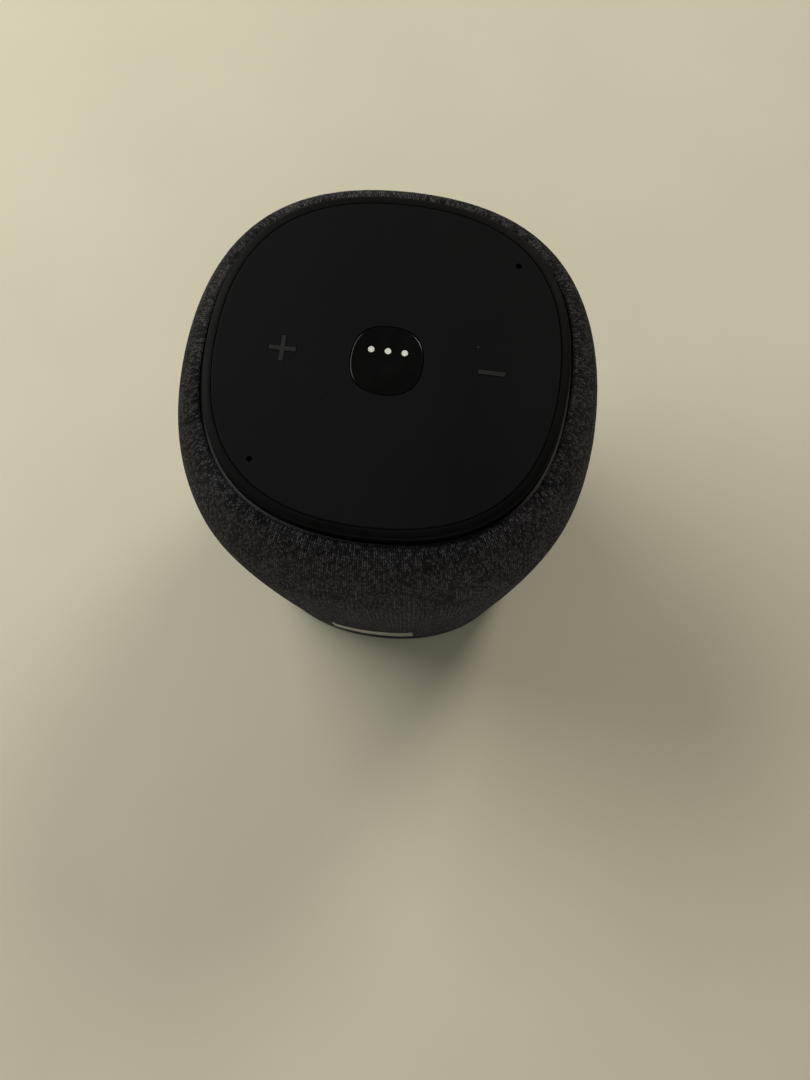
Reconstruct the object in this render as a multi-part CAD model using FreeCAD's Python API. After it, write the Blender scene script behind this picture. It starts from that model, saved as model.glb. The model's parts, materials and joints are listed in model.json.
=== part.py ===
import FreeCAD, Part
import math
import os

# Compact mains-powered smart speaker: a fabric-covered barrel with a rounded-square section,
# a flat control panel on top, a connector panel at the back and a rubber foot.
# Frame: +Z up, front at -Y, origin at the centre of the footprint, on the surface it stands on.
# All sizes are in millimetres.

Vector = FreeCAD.Vector

# ---- outside of the speaker
HEIGHT = 134.0
MAX_WIDTH = 112.0
WIDEST_Z = 98.0
BASE_WIDTH = 90.6
FLANK_POWER = 1.21
BODY_SQUARE = 0.64
PANEL_SQUARE = 0.67
FABRIC_LOW_Z = 4.4
FABRIC_TOP_DROP = 3.4
FABRIC_THICK = 1.2
SKIN_GAP = 0.15
SHELL_WALL = 2.0

# ---- general clearances and fasteners
FIT_GAP = 0.15
SEAT_GAP = 0.05
HOLE_GAP = 0.05
SCREW_R = 1.3
SCREW_HEAD_R = 2.5
SCREW_HEAD_H = 1.6
SMALL_SCREW_R = 0.9
SMALL_HEAD_R = 1.7
SMALL_HEAD_H = 1.1

# ---- foot and base
FOOT_HALF = 38.0
FOOT_RING_WIDTH = 7.5
FOOT_HEIGHT = 2.4
FOOT_PROUD = 1.2
BASE_THICK = 3.2
BASE_RIM_H = 2.4
BASE_RIM_WIDTH = 2.2
BASE_EDGE_ROUND = 1.0
COLUMN_XY = 26.8
COLUMN_R = 3.6
COLUMN_FOOT_Z = 7.2

# ---- downward-firing driver and its diffuser
DIFFUSER_R = 27.0
DIFFUSER_TIP_R = 2.5
DIFFUSER_TIP_Z = 23.5
DIFFUSER_RIM_H = 1.6
DIFFUSER_SCREW_R = 22.5
BAFFLE_Z = 34.0
BAFFLE_THICK = 3.0
DRIVER_HOLE_R = 28.0
FLANGE_R = 33.0
FLANGE_THICK = 1.4
DRIVER_GASKET = 0.8
DRIVER_SCREW_PITCH_R = 30.7
CONE_R = 22.0
CONE_NECK_R = 8.2
CONE_DEPTH = 9.5
CONE_THICK = 0.7
SURROUND_R = 27.6
SURROUND_ROLL_H = 2.4
SURROUND_LIP = 0.9
SPIDER_R = 13.6
SPIDER_ROLL_H = 1.4
SPIDER_THICK = 0.4
SURROUND_THICK = 0.6
COIL_R = 7.9
COIL_WALL = 0.55
COIL_LENGTH = 13.0
COIL_GAP = 0.35
MAGNET_R = 21.5
MAGNET_H = 8.0
TOP_PLATE_H = 3.6
TOP_PLATE_R = 19.0
YOKE_R = 20.0
YOKE_H = 3.4
CONE_TRAVEL = 2.5

# ---- acoustic box and its two passive radiators
BOX_INSET = 6.0
BOX_WALL = 2.4
BOX_TOP_Z = 98.0
BOX_GASKET_H = 0.8
LID_THICK = 3.0
LID_SCREW_XY = 33.0
LID_SCREW_Y = 44.6
LID_BOSS_R = 3.4
LID_BOSS_H = 14.0
RADIATOR_Z = 67.0
RADIATOR_SEAT_X = 41.0
RADIATOR_RECESS_R = 26.0
RADIATOR_HOLE_R = 21.0
RADIATOR_FRAME_H = 2.0
RADIATOR_PLATE_R = 17.0
RADIATOR_PLATE_H = 1.2
RADIATOR_ROLL_H = 2.0
RADIATOR_SCREW_PITCH_R = 24.0
RADIATOR_WEIGHT_R = 9.0
RADIATOR_WEIGHT_H = 2.6

# ---- rear pocket with the connector panel
POCKET_HALF = 17.0
POCKET_Y = 36.0
POCKET_TOP_Z = 64.0
PANEL_HALF = 15.0
PANEL_LOW_Z = 12.0
PANEL_HIGH_Z = 60.0
PANEL_CORNER_R = 6.0
PANEL_RECESS = 0.4
PANEL_PLATE = 3.6
PANEL_LIP = 2.6
PANEL_LIP_THICK = 1.6
INLET_Z = 22.5
INLET_HALF = 8.1
INLET_R = 4.3
INLET_WALL = 1.8
INLET_BACK_Y = 29.5
INLET_FLOOR = 2.0
PIN_R = 1.2
PIN_PITCH = 8.6
PIN_LENGTH = 11.5
BUTTON_Z = 39.0
BUTTON_R = 3.3
BUTTON_TRAVEL = 0.5
SLIDER_Z = 50.0
SLIDER_HALF = 2.2
SLIDER_FOOT_HALF = 3.8
SLIDER_FOOT_H = 4.8
SLIDER_FOOT_THICK = 1.0
BUTTON_FLANGE = 0.9
SLIDER_H = 3.0
SLIDER_TRAVEL = 3.0
SLIDER_PROUD = 0.7
IO_BOARD_Y = 38.2
IO_BOARD_LEFT = -11.0
IO_BOARD_RIGHT = 9.0
IO_BOARD_LOW_Z = 34.6
IO_BOARD_HIGH_Z = 57.0
IO_POST_R = 1.8
BOARD_THICK = 1.6
SWITCH_H = 3.4

# ---- power supply board, inside the box under the lid
PSU_Z = 80.0
PSU_HALF_X = 34.0
PSU_HALF_Y = 25.0
PSU_POST_X = 30.0
PSU_POST_Y = 21.0
POST_R = 2.6

# ---- boards above the lid
MAIN_BOARD_Z = 106.0
MAIN_HALF_X = 30.0
MAIN_HALF_Y = 22.0
FRAME_POST_R = 3.6
FRAME_POST_AT = 36.4
FRAME_SPLIT_Z = 116.0
FRAME_SEAT_H = 6.0
KEY_BAY = 9.0
KEY_BOARD_HALF = 31.0
KEY_POST_AT = 19.0

# ---- control panel
PANEL_TOP_HALF = 43.2
PANEL_SKIN = 2.0
PANEL_EDGE_ROUND = 0.35
BEZEL_WIDTH = 2.4
BEZEL_DROP = 0.8
BEZEL_DEPTH = 8.5
BEZEL_GROOVE = 1.1
BEZEL_LIP = 1.2
DECK_THICK = 2.5
SKIRT_WALL = 2.0
TALK_HALF = 9.1
TALK_RECESS = 0.15
TALK_SKIN = 1.6
TALK_FLANGE = 1.2
TALK_FLANGE_H = 0.8
KEY_X = 26.2
GLYPH_LENGTH = 6.8
GLYPH_STROKE = 1.15
GLYPH_PROUD = 0.12
KEY_PLATE_R = 5.2
KEY_PLATE_H = 1.2
KEY_TRAVEL = 0.5
STEM_R = 1.9
SWITCH_HALF = 3.0
SWITCH_NUB_R = 1.6
SWITCH_NUB_H = 0.7
WINDOW_R = 0.8
WINDOW_PITCH = 4.2
WINDOW_Y = 2.6
MIC_XY = 29.7
MIC_R = 0.75
MIC_BOOT_R = 2.6
MIC_BOOT_H = 2.4
MIC_BOARD_R = 3.4
MIC_BOARD_THICK = 1.0

# ---- front plate, grille slots and leads
BADGE_HALF = 12.6
BADGE_LOW_Z = 19.0
BADGE_HIGH_Z = 36.0
BADGE_PROUD = 0.3
BADGE_CORNER_R = 1.6
BADGE_PEG_R = 1.2
SLOT_WIDTH = 2.6
SLOT_STEP_DEG = 7.5
SLOT_LOW_Z = 11.0
SLOT_HIGH_Z = 31.0
LEAD_R = 1.2
POWER_LEAD_R = 1.2
POWER_LEAD_X = 13.0
POWER_LEAD_Y = 40.0
GROMMET_WALL = 1.4
GROMMET_LIP = 0.5

# ---- sizes that follow from the ones above
R_MAX = MAX_WIDTH / 2
R_BASE = BASE_WIDTH / 2
BEZEL_IN = PANEL_TOP_HALF + FIT_GAP
BEZEL_OUT = PANEL_TOP_HALF + BEZEL_WIDTH
RIM_HALF = BEZEL_OUT + BEZEL_GROOVE
FABRIC_TOP_Z = HEIGHT - FABRIC_TOP_DROP
BASE_Z = FOOT_PROUD
BASE_TOP_Z = BASE_Z + BASE_THICK
SHELL_INSET = FABRIC_THICK + SKIN_GAP
SHELL_INNER = SHELL_INSET + SHELL_WALL
LID_Z = BOX_TOP_Z + BOX_GASKET_H
LID_TOP_Z = LID_Z + LID_THICK
PANEL_TOP_Z = HEIGHT - GLYPH_PROUD
DECK_TOP_Z = PANEL_TOP_Z - PANEL_SKIN
DECK_LOW_Z = DECK_TOP_Z - DECK_THICK
SKIRT_HALF = BEZEL_IN - FIT_GAP
FLANGE_TOP_Z = BAFFLE_Z - DRIVER_GASKET
FLANGE_LOW_Z = FLANGE_TOP_Z - FLANGE_THICK
CONE_TOP_Z = FLANGE_LOW_Z + CONE_DEPTH
COIL_OUT = COIL_R + COIL_WALL
TOP_PLATE_Z = CONE_TOP_Z + 6.5
MAGNET_Z = TOP_PLATE_Z + TOP_PLATE_H
YOKE_Z = MAGNET_Z + MAGNET_H
KEY_BOARD_Z = DECK_LOW_Z - KEY_BAY
SWITCH_TOP_Z = KEY_BOARD_Z + BOARD_THICK + SWITCH_H
STEM_LOW_Z = SWITCH_TOP_Z + SWITCH_NUB_H + KEY_TRAVEL + 2 * SEAT_GAP
IO_SWITCH_Y = IO_BOARD_Y + BOARD_THICK + SWITCH_H


# ---- shape helpers
def section(half, square, z):
    """A closed rounded-square outline, made of four equal curves."""
    handle = square * half
    edges = []
    for quarter in range(4):
        turn = FreeCAD.Rotation(Vector(0, 0, 1), 90 * quarter)
        points = [(half, 0), (half, handle), (handle, half), (0, half)]
        curve = Part.BezierCurve()
        curve.setPoles([turn.multVec(Vector(x, y, 0)) + Vector(0, 0, z) for x, y in points])
        edges.append(curve.toShape())
    return Part.Wire(edges)


def prism(half, low, high, square=PANEL_SQUARE):
    """A straight solid with the rounded-square outline."""
    face = Part.Face(section(half, square, low))
    return face.extrude(Vector(0, 0, high - low))


def flank_half(z):
    """Half-width of the fabric at a height at or below the widest level."""
    share = (WIDEST_Z - z) / (WIDEST_Z - FABRIC_LOW_Z)
    return R_MAX - (R_MAX - R_BASE) * share**FLANK_POWER


def flank_slope(z):
    """How fast the half-width grows with height, on the flank."""
    share = (WIDEST_Z - z) / (WIDEST_Z - FABRIC_LOW_Z)
    return (R_MAX - R_BASE) * FLANK_POWER * share ** (FLANK_POWER - 1) / (WIDEST_Z - FABRIC_LOW_Z)


def barrel_levels(inset, low=FABRIC_LOW_Z, high=None):
    """(z, half-width, squareness) up the barrel, measured inset inside the fabric's outer face.

    Below the widest level the flank follows a power curve; above it, a quarter ellipse turns in
    to the groove round the control panel."""
    levels = []
    flank_top = WIDEST_Z if high is None else high
    flank_steps = 6
    for step in range(flank_steps):
        z = low + (flank_top - low) * step / flank_steps
        levels.append((z, flank_half(z) - inset * math.hypot(1, flank_slope(z)), BODY_SQUARE))
    if high is not None:
        levels.append((high, flank_half(high) - inset * math.hypot(1, flank_slope(high)), BODY_SQUARE))
        return levels
    wide, tall = R_MAX - RIM_HALF, FABRIC_TOP_Z - WIDEST_Z
    for degrees in (0, 18, 36, 52, 66, 78, 90):
        a = math.radians(degrees)
        length = math.hypot(tall * math.cos(a), wide * math.sin(a))
        normal_r, normal_z = tall * math.cos(a) / length, wide * math.sin(a) / length
        half = RIM_HALF + wide * math.cos(a) - inset * normal_r
        z = WIDEST_Z + tall * math.sin(a) - inset * normal_z
        square = BODY_SQUARE + (PANEL_SQUARE - BODY_SQUARE) * math.sin(a) ** 2
        levels.append((z, half, square))
    return levels


def barrel(inset, low=FABRIC_LOW_Z, high=None):
    """The solid inside the barrel's face, inset by a distance, from low to high or to its top."""
    levels = barrel_levels(inset, low, high)
    return Part.makeLoft([section(half, square, z) for z, half, square in levels], True, False)


def cylinder(r, low, high, x=0.0, y=0.0):
    return Part.makeCylinder(r, high - low, Vector(x, y, low))


def ring(r_in, r_out, low, high, x=0.0, y=0.0):
    return cylinder(r_out, low, high, x, y).cut(cylinder(r_in, low - 1, high + 1, x, y))


def cylinder_along(direction, r, start, end, a, b):
    """A cylinder along +Y (a is x, b is z) or along +X (a is y, b is z)."""
    if direction == "y":
        return Part.makeCylinder(r, end - start, Vector(a, start, b), Vector(0, 1, 0))
    return Part.makeCylinder(r, end - start, Vector(start, a, b), Vector(1, 0, 0))


def box(x0, x1, y0, y1, z0, z1):
    return Part.makeBox(x1 - x0, y1 - y0, z1 - z0, Vector(x0, y0, z0))


def rounded_bar(half_x, low_z, high_z, corner, y0, y1):
    """A bar along Y whose XZ outline is a rectangle with round corners."""
    bar = box(-half_x, half_x, y0, y1, low_z, high_z)
    along = [e for e in bar.Edges if abs(e.tangentAt(e.FirstParameter).y) > 0.99]
    return bar.makeFillet(corner, along)


def revolved(points):
    """A solid of revolution about the Z axis, from (radius, z) points in order."""
    outline = Part.makePolygon([Vector(r, 0, z) for r, z in points + points[:1]])
    return Part.Face(outline).revolve(Vector(0, 0, 0), Vector(0, 0, 1), 360)


def fuse_all(shapes):
    return shapes[0].multiFuse(shapes[1:]).removeSplitter()


def screw(x, y, seat_z, length, up=True, shank_r=SCREW_R, head_r=SCREW_HEAD_R, head_h=SCREW_HEAD_H):
    """A pan-head screw on a vertical axis. Its head's underside is at seat_z and its shank runs
    up from there, or down if up is False, with a cross recess in the head."""
    head = cylinder(head_r, 0, head_h)
    rim = [e for e in head.Edges if e.BoundBox.ZMax < 1e-6 and e.Curve.TypeId == "Part::GeomCircle"]
    head = head.makeFillet(head_h * 0.3, rim)
    for turn in (0, 90):
        slot = box(-head_r * 0.6, head_r * 0.6, -head_r * 0.12, head_r * 0.12, -0.1, head_h * 0.5)
        slot.rotate(Vector(0, 0, 0), Vector(0, 0, 1), turn)
        head = head.cut(slot)
    body = head.fuse(cylinder(shank_r, head_h, head_h + length))
    if not up:
        body.rotate(Vector(0, 0, 0), Vector(1, 0, 0), 180)
    body.translate(Vector(x, y, seat_z - head_h if up else seat_z + head_h))
    return body


def small_screw(x, y, seat_z, length, up=True):
    return screw(x, y, seat_z, length, up, SMALL_SCREW_R, SMALL_HEAD_R, SMALL_HEAD_H)


def screw_hole(x, y, low, high, r=SCREW_R):
    return cylinder(r + HOLE_GAP, low, high, x, y)


def stadium(half, r, y0, y1, z, grow=0.0):
    """A bar along Y with round sides, centred on x = 0."""
    reach, r = half - r, r + grow
    bar = box(-reach, reach, y0, y1, z - r, z + r)
    return bar.fuse([cylinder_along("y", r, y0, y1, x, z) for x in (-reach, reach)]).removeSplitter()


def lead(points, r):
    """A round cable through the points: straight runs joined by arcs as large as the runs allow."""
    knots = [Vector(*p) for p in points]
    edges, start = [], knots[0]
    for a, b, c in zip(knots, knots[1:], knots[2:]):
        cut = 0.45 * min((b - a).Length, (c - b).Length)
        into, out = (b - a).normalize(), (c - b).normalize()
        turn = into.getAngle(out)
        radius = cut / math.tan(turn / 2)
        to_centre = (out - into).normalize()
        centre = b + to_centre * (radius / math.cos(turn / 2))
        first, last = b - into * cut, b + out * cut
        edges.append(Part.LineSegment(start, first).toShape())
        edges.append(Part.Arc(first, centre - to_centre * radius, last).toShape())
        start = last
    edges.append(Part.LineSegment(start, knots[-1]).toShape())
    path = Part.Wire(edges)
    profile = Part.Wire(Part.makeCircle(r, knots[0], knots[1] - knots[0]))
    return path.makePipeShell([profile], True, False)


COLUMNS = [(x * COLUMN_XY, y * COLUMN_XY) for x in (-1, 1) for y in (-1, 1)]
LID_SCREWS = [(x * LID_SCREW_XY, y * LID_SCREW_XY) for x in (-1, 1) for y in (-1, 1)]
LID_SCREWS += [(0, -LID_SCREW_Y), (0, LID_SCREW_Y)]
FRAME_POSTS = [(FRAME_POST_AT, 0), (-FRAME_POST_AT, 0), (0, FRAME_POST_AT), (0, -FRAME_POST_AT)]
PSU_POSTS = [(x * PSU_POST_X, y * PSU_POST_Y) for x in (-1, 1) for y in (-1, 1)]
MAIN_POSTS = [(x * (MAIN_HALF_X - 4), y * (MAIN_HALF_Y - 4)) for x in (-1, 1) for y in (-1, 1)]
DIFFUSER_SCREWS = [
    (DIFFUSER_SCREW_R * math.cos(math.radians(a)), DIFFUSER_SCREW_R * math.sin(math.radians(a)))
    for a in (90, 210, 330)
]
DRIVER_SCREWS = [
    (DRIVER_SCREW_PITCH_R * math.cos(math.radians(a)), DRIVER_SCREW_PITCH_R * math.sin(math.radians(a)))
    for a in (0, 90, 180, 270)
]
RADIATOR_SCREW_ANGLES = (45, 135, 225, 315)
MICS = [(MIC_XY, MIC_XY), (-MIC_XY, -MIC_XY)]
LEAD_HOLES = [(0.0, -30.0), (-14.0, 30.0)]
KEY_POSTS = [(x * KEY_POST_AT, y * KEY_POST_AT) for x in (-1, 1) for y in (-1, 1)]


# ---- foot and base
def foot_ring():
    outer = prism(FOOT_HALF, 0, FOOT_HEIGHT)
    rim = [e for e in outer.Edges if e.BoundBox.ZMax < 1e-6]
    outer = outer.makeFillet(0.6, rim)
    return outer.cut(prism(FOOT_HALF - FOOT_RING_WIDTH, -1, FOOT_HEIGHT + 1))


def base_plate():
    half = flank_half(FABRIC_LOW_Z)
    plate = prism(half, BASE_Z, BASE_TOP_Z - SEAT_GAP, BODY_SQUARE)
    lower = [e for e in plate.Edges if e.BoundBox.ZMax < BASE_Z + 1e-6]
    plate = plate.makeFillet(BASE_EDGE_ROUND, lower)
    rim_half = flank_half(FABRIC_LOW_Z) - SHELL_INNER * math.hypot(1, flank_slope(FABRIC_LOW_Z)) - FIT_GAP
    rim = prism(rim_half, BASE_TOP_Z - 1, BASE_TOP_Z + BASE_RIM_H, BODY_SQUARE)
    rim = rim.cut(prism(rim_half - BASE_RIM_WIDTH, BASE_TOP_Z - 2, BASE_TOP_Z + 9, BODY_SQUARE))
    bosses = [cylinder(COLUMN_R, BASE_TOP_Z - 1, COLUMN_FOOT_Z, x, y) for x, y in COLUMNS]
    seat = cylinder(DIFFUSER_R, BASE_TOP_Z - 1, COLUMN_FOOT_Z - 0.8)
    body = fuse_all([plate, rim, seat] + bosses)
    groove_top = FOOT_HEIGHT + SEAT_GAP
    groove = prism(FOOT_HALF + FIT_GAP, 0, groove_top)
    groove = groove.cut(prism(FOOT_HALF - FOOT_RING_WIDTH - FIT_GAP, -1, groove_top + 1))
    body = body.cut(groove)
    for x, y in COLUMNS:
        body = body.cut(cylinder(SCREW_HEAD_R + FIT_GAP, 0, base_screw_seat(), x, y))
        body = body.cut(screw_hole(x, y, 0, 20))
    for x, y in DIFFUSER_SCREWS:
        body = body.cut(screw_hole(x, y, BASE_Z + 1.0, 20))
    return body


def base_screw_seat():
    return FOOT_HEIGHT + 2 * SEAT_GAP + SCREW_HEAD_H


def base_screws():
    return Part.makeCompound([screw(x, y, base_screw_seat(), 12.0) for x, y in COLUMNS])


def sound_diffuser():
    """A flared cone that turns the driver's sound outwards."""
    low = COLUMN_FOOT_Z - 0.8 + SEAT_GAP
    start = Vector(DIFFUSER_R - 5.5, 0, low + DIFFUSER_RIM_H)
    end = Vector(DIFFUSER_TIP_R, 0, DIFFUSER_TIP_Z)
    flare = Part.BezierCurve()
    flare.setPoles([start, Vector(DIFFUSER_R * 0.35, 0, start.z + 0.5), Vector(DIFFUSER_TIP_R + 2, 0, start.z + 6), end])
    rim = [
        Part.LineSegment(end, Vector(0, 0, DIFFUSER_TIP_Z + 0.6)).toShape(),
        Part.LineSegment(Vector(0, 0, DIFFUSER_TIP_Z + 0.6), Vector(0, 0, low)).toShape(),
        Part.LineSegment(Vector(0, 0, low), Vector(DIFFUSER_R, 0, low)).toShape(),
        Part.LineSegment(Vector(DIFFUSER_R, 0, low), Vector(DIFFUSER_R, 0, low + DIFFUSER_RIM_H)).toShape(),
        Part.LineSegment(Vector(DIFFUSER_R, 0, low + DIFFUSER_RIM_H), start).toShape(),
        flare.toShape(),
    ]
    solid = Part.Face(Part.Wire(Part.sortEdges(rim)[0])).revolve(Vector(0, 0, 0), Vector(0, 0, 1), 360)
    for x, y in DIFFUSER_SCREWS:
        solid = solid.cut(screw_hole(x, y, 0, 40))
        solid = solid.cut(cylinder(SCREW_HEAD_R + FIT_GAP, low + DIFFUSER_RIM_H, 40, x, y))
    return solid


def diffuser_screws():
    seat = COLUMN_FOOT_Z - 0.8 + DIFFUSER_RIM_H + 2 * SEAT_GAP
    return Part.makeCompound([screw(x, y, seat, 4.2, up=False) for x, y in DIFFUSER_SCREWS])


# ---- outer skin
def panel_window(grow, y0=20.0):
    return rounded_bar(
        PANEL_HALF + grow, PANEL_LOW_Z - grow, PANEL_HIGH_Z + grow, PANEL_CORNER_R + grow, y0, R_MAX + 5
    )


def badge_block(grow):
    return rounded_bar(BADGE_HALF + grow, BADGE_LOW_Z - grow, BADGE_HIGH_Z + grow, BADGE_CORNER_R + grow, -R_MAX, -30)


def badge_pegs(r, y0, y1):
    middle = (BADGE_LOW_Z + BADGE_HIGH_Z) / 2
    return [cylinder_along("y", r, y0, y1, x * BADGE_HALF * 0.6, middle) for x in (-1, 1)]


def fabric_sleeve():
    skin = barrel(0).cut(barrel(FABRIC_THICK))
    skin = skin.cut(prism(RIM_HALF - 0.3, FABRIC_TOP_Z - 6, HEIGHT))
    skin = skin.cut(panel_window(FIT_GAP))
    return skin.cut(badge_block(FIT_GAP))


def grille_shell():
    """The hard shell under the fabric, open in front of the driver's slot and both radiators."""
    shell = barrel(SHELL_INSET).cut(barrel(SHELL_INNER))
    shell = shell.cut(prism(BEZEL_OUT + FIT_GAP, FABRIC_TOP_Z - 8, HEIGHT))
    shell = shell.cut(panel_window(FIT_GAP))
    cutters = badge_pegs(BADGE_PEG_R + FIT_GAP, -R_MAX, -30)
    for step in range(int(360 / SLOT_STEP_DEG)):
        angle = step * SLOT_STEP_DEG + SLOT_STEP_DEG / 2
        from_back = abs((angle - 90 + 180) % 360 - 180)
        from_front = abs((angle - 270 + 180) % 360 - 180)
        if from_back > 26 and from_front > 18:
            slot = box(30, 60, -SLOT_WIDTH / 2, SLOT_WIDTH / 2, SLOT_LOW_Z, SLOT_HIGH_Z)
            slot.rotate(Vector(0, 0, 0), Vector(0, 0, 1), angle)
            cutters.append(slot)
    pitch = 2 * SLOT_WIDTH
    for side in (-1, 1):
        for row in range(-4, 5):
            reach = math.sqrt(RADIATOR_RECESS_R**2 - (row * pitch) ** 2)
            y = row * pitch
            x0, x1 = sorted((side * 40, side * 60))
            cutters.append(box(x0, x1, y - SLOT_WIDTH / 2, y + SLOT_WIDTH / 2, RADIATOR_Z - reach, RADIATOR_Z + reach))
    return shell.cut(Part.makeCompound(cutters))


def front_badge():
    """A bare plate that follows the fabric, held by two pegs."""
    band = barrel(-BADGE_PROUD).cut(barrel(FABRIC_THICK))
    plate = band.common(badge_block(0))
    end = -flank_half(BADGE_LOW_Z) + SHELL_INNER
    pegs = [peg.common(barrel(FABRIC_THICK / 2)) for peg in badge_pegs(BADGE_PEG_R, end - 9, end)]
    return fuse_all([plate] + pegs)


# ---- acoustic box
def box_cavity_half(z):
    return flank_half(z) - (BOX_INSET + BOX_WALL) * math.hypot(1, flank_slope(z))


def speaker_box():
    outer = barrel(BOX_INSET, BAFFLE_Z, BOX_TOP_Z).cut(
        box(-POCKET_HALF, POCKET_HALF, POCKET_Y, 70, 0, POCKET_TOP_Z)
    )
    cavity = barrel(BOX_INSET + BOX_WALL, BAFFLE_Z + BAFFLE_THICK, BOX_TOP_Z)
    side, top = POCKET_HALF + BOX_WALL, POCKET_TOP_Z + BOX_WALL
    cavity = cavity.cut(box(-side, side, POCKET_Y - BOX_WALL, 70, 0, top))
    walls = outer.cut(cavity)
    solid = barrel(BOX_INSET, BAFFLE_Z, BOX_TOP_Z)
    extras = []
    for x in (-1, 1):
        start, end = sorted((x * (RADIATOR_SEAT_X - BOX_WALL), x * (R_MAX + 5)))
        extras.append(cylinder_along("x", RADIATOR_RECESS_R + BOX_WALL, start, end, 0, RADIATOR_Z).common(solid))
    for x, y in LID_SCREWS:
        extras.append(cylinder(LID_BOSS_R, BOX_TOP_Z - LID_BOSS_H, BOX_TOP_Z, x, y).common(solid))
    for x, y in COLUMNS:
        extras.append(cylinder(COLUMN_R, COLUMN_FOOT_Z + SEAT_GAP, BAFFLE_Z + BAFFLE_THICK + 4, x, y))
    body = fuse_all([walls] + extras)
    for x in (-1, 1):
        start, end = sorted((x * RADIATOR_SEAT_X, x * (R_MAX + 5)))
        body = body.cut(cylinder_along("x", RADIATOR_RECESS_R, start, end, 0, RADIATOR_Z))
        start, end = sorted((x * (RADIATOR_SEAT_X - 2 * BOX_WALL), x * (R_MAX + 5)))
        body = body.cut(cylinder_along("x", RADIATOR_HOLE_R, start, end, 0, RADIATOR_Z))
        for angle in RADIATOR_SCREW_ANGLES:
            y, z = radiator_screw_at(angle)
            body = body.cut(cylinder_along("x", SMALL_SCREW_R + HOLE_GAP, start, end, y, z))
    body = body.cut(cylinder(DRIVER_HOLE_R, BAFFLE_Z - 1, BAFFLE_Z + BAFFLE_THICK + 1))
    for x, y in DRIVER_SCREWS:
        body = body.cut(screw_hole(x, y, BAFFLE_Z - 1, BAFFLE_Z + BAFFLE_THICK + 1, SMALL_SCREW_R))
    for x, y in COLUMNS:
        body = body.cut(screw_hole(x, y, 0, COLUMN_FOOT_Z + 13))
    for x, y in LID_SCREWS:
        body = body.cut(screw_hole(x, y, BOX_TOP_Z - 11, BOX_TOP_Z + 1))
    hole_r = POWER_LEAD_R + GROMMET_WALL
    return body.cut(cylinder(hole_r, POCKET_TOP_Z - 1, top + 1, POWER_LEAD_X, POWER_LEAD_Y))


def radiator_screw_at(angle):
    a = math.radians(angle)
    return RADIATOR_SCREW_PITCH_R * math.cos(a), RADIATOR_Z + RADIATOR_SCREW_PITCH_R * math.sin(a)


def lead_grommet():
    """A rubber bush that seals the power lead where it enters the box."""
    top = POCKET_TOP_Z + BOX_WALL
    at = (POWER_LEAD_X, POWER_LEAD_Y)
    hole_r = POWER_LEAD_R + GROMMET_WALL
    sleeve = cylinder(hole_r - HOLE_GAP, POCKET_TOP_Z, top + 0.6, *at)
    flange = cylinder(hole_r + GROMMET_LIP, top + SEAT_GAP, top + 1.2, *at)
    return sleeve.fuse(flange).removeSplitter().cut(cylinder(POWER_LEAD_R + HOLE_GAP, POCKET_TOP_Z - 2, top + 4, *at))


def box_gasket():
    half = flank_half(BOX_TOP_Z) - BOX_INSET
    seal = prism(half - 0.2, BOX_TOP_Z, LID_Z, BODY_SQUARE).cut(
        prism(half - BOX_WALL - 0.1, BOX_TOP_Z - 1, LID_Z + 1, BODY_SQUARE)
    )
    for x, y in LID_SCREWS:
        seal = seal.cut(cylinder(SCREW_R + 2 * FIT_GAP, 0, HEIGHT, x, y))
    return seal


def box_lid():
    half = flank_half(BOX_TOP_Z) - BOX_INSET
    plate = prism(half, LID_Z, LID_TOP_Z, BODY_SQUARE)
    rim = [e for e in plate.Edges if e.BoundBox.ZMin > LID_TOP_Z - 1e-6]
    parts = [plate.makeFillet(0.8, rim)]
    parts += [cylinder(FRAME_POST_R, LID_TOP_Z - 1, FRAME_SPLIT_Z, x, y) for x, y in FRAME_POSTS]
    parts += [cylinder(POST_R, LID_TOP_Z - 1, MAIN_BOARD_Z - SEAT_GAP, x, y) for x, y in MAIN_POSTS]
    parts += [cylinder(POST_R, PSU_Z + BOARD_THICK + SEAT_GAP, LID_Z + 1, x, y) for x, y in PSU_POSTS]
    body = fuse_all(parts)
    for x, y in LID_SCREWS:
        body = body.cut(screw_hole(x, y, LID_Z - 1, LID_TOP_Z + 1))
    for x, y in FRAME_POSTS:
        body = body.cut(screw_hole(x, y, FRAME_SPLIT_Z - 9, FRAME_SPLIT_Z + 1))
    for x, y in MAIN_POSTS:
        body = body.cut(screw_hole(x, y, LID_TOP_Z - 1.5, MAIN_BOARD_Z + 1))
    for x, y in PSU_POSTS:
        body = body.cut(screw_hole(x, y, PSU_Z, PSU_Z + 9))
    for x, y in LEAD_HOLES:
        body = body.cut(cylinder(LEAD_R + 0.3, LID_Z - 1, LID_TOP_Z + 1, x, y))
    return body


def lid_screws():
    return Part.makeCompound([screw(x, y, LID_TOP_Z + SEAT_GAP, 10.0, up=False) for x, y in LID_SCREWS])


# ---- driver
def driver_gasket():
    seal = ring(DRIVER_HOLE_R + 0.4, FLANGE_R - 0.5, FLANGE_TOP_Z + SEAT_GAP, BAFFLE_Z - SEAT_GAP)
    for x, y in DRIVER_SCREWS:
        seal = seal.cut(cylinder(SMALL_SCREW_R + FIT_GAP, 0, 60, x, y))
    return seal


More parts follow.
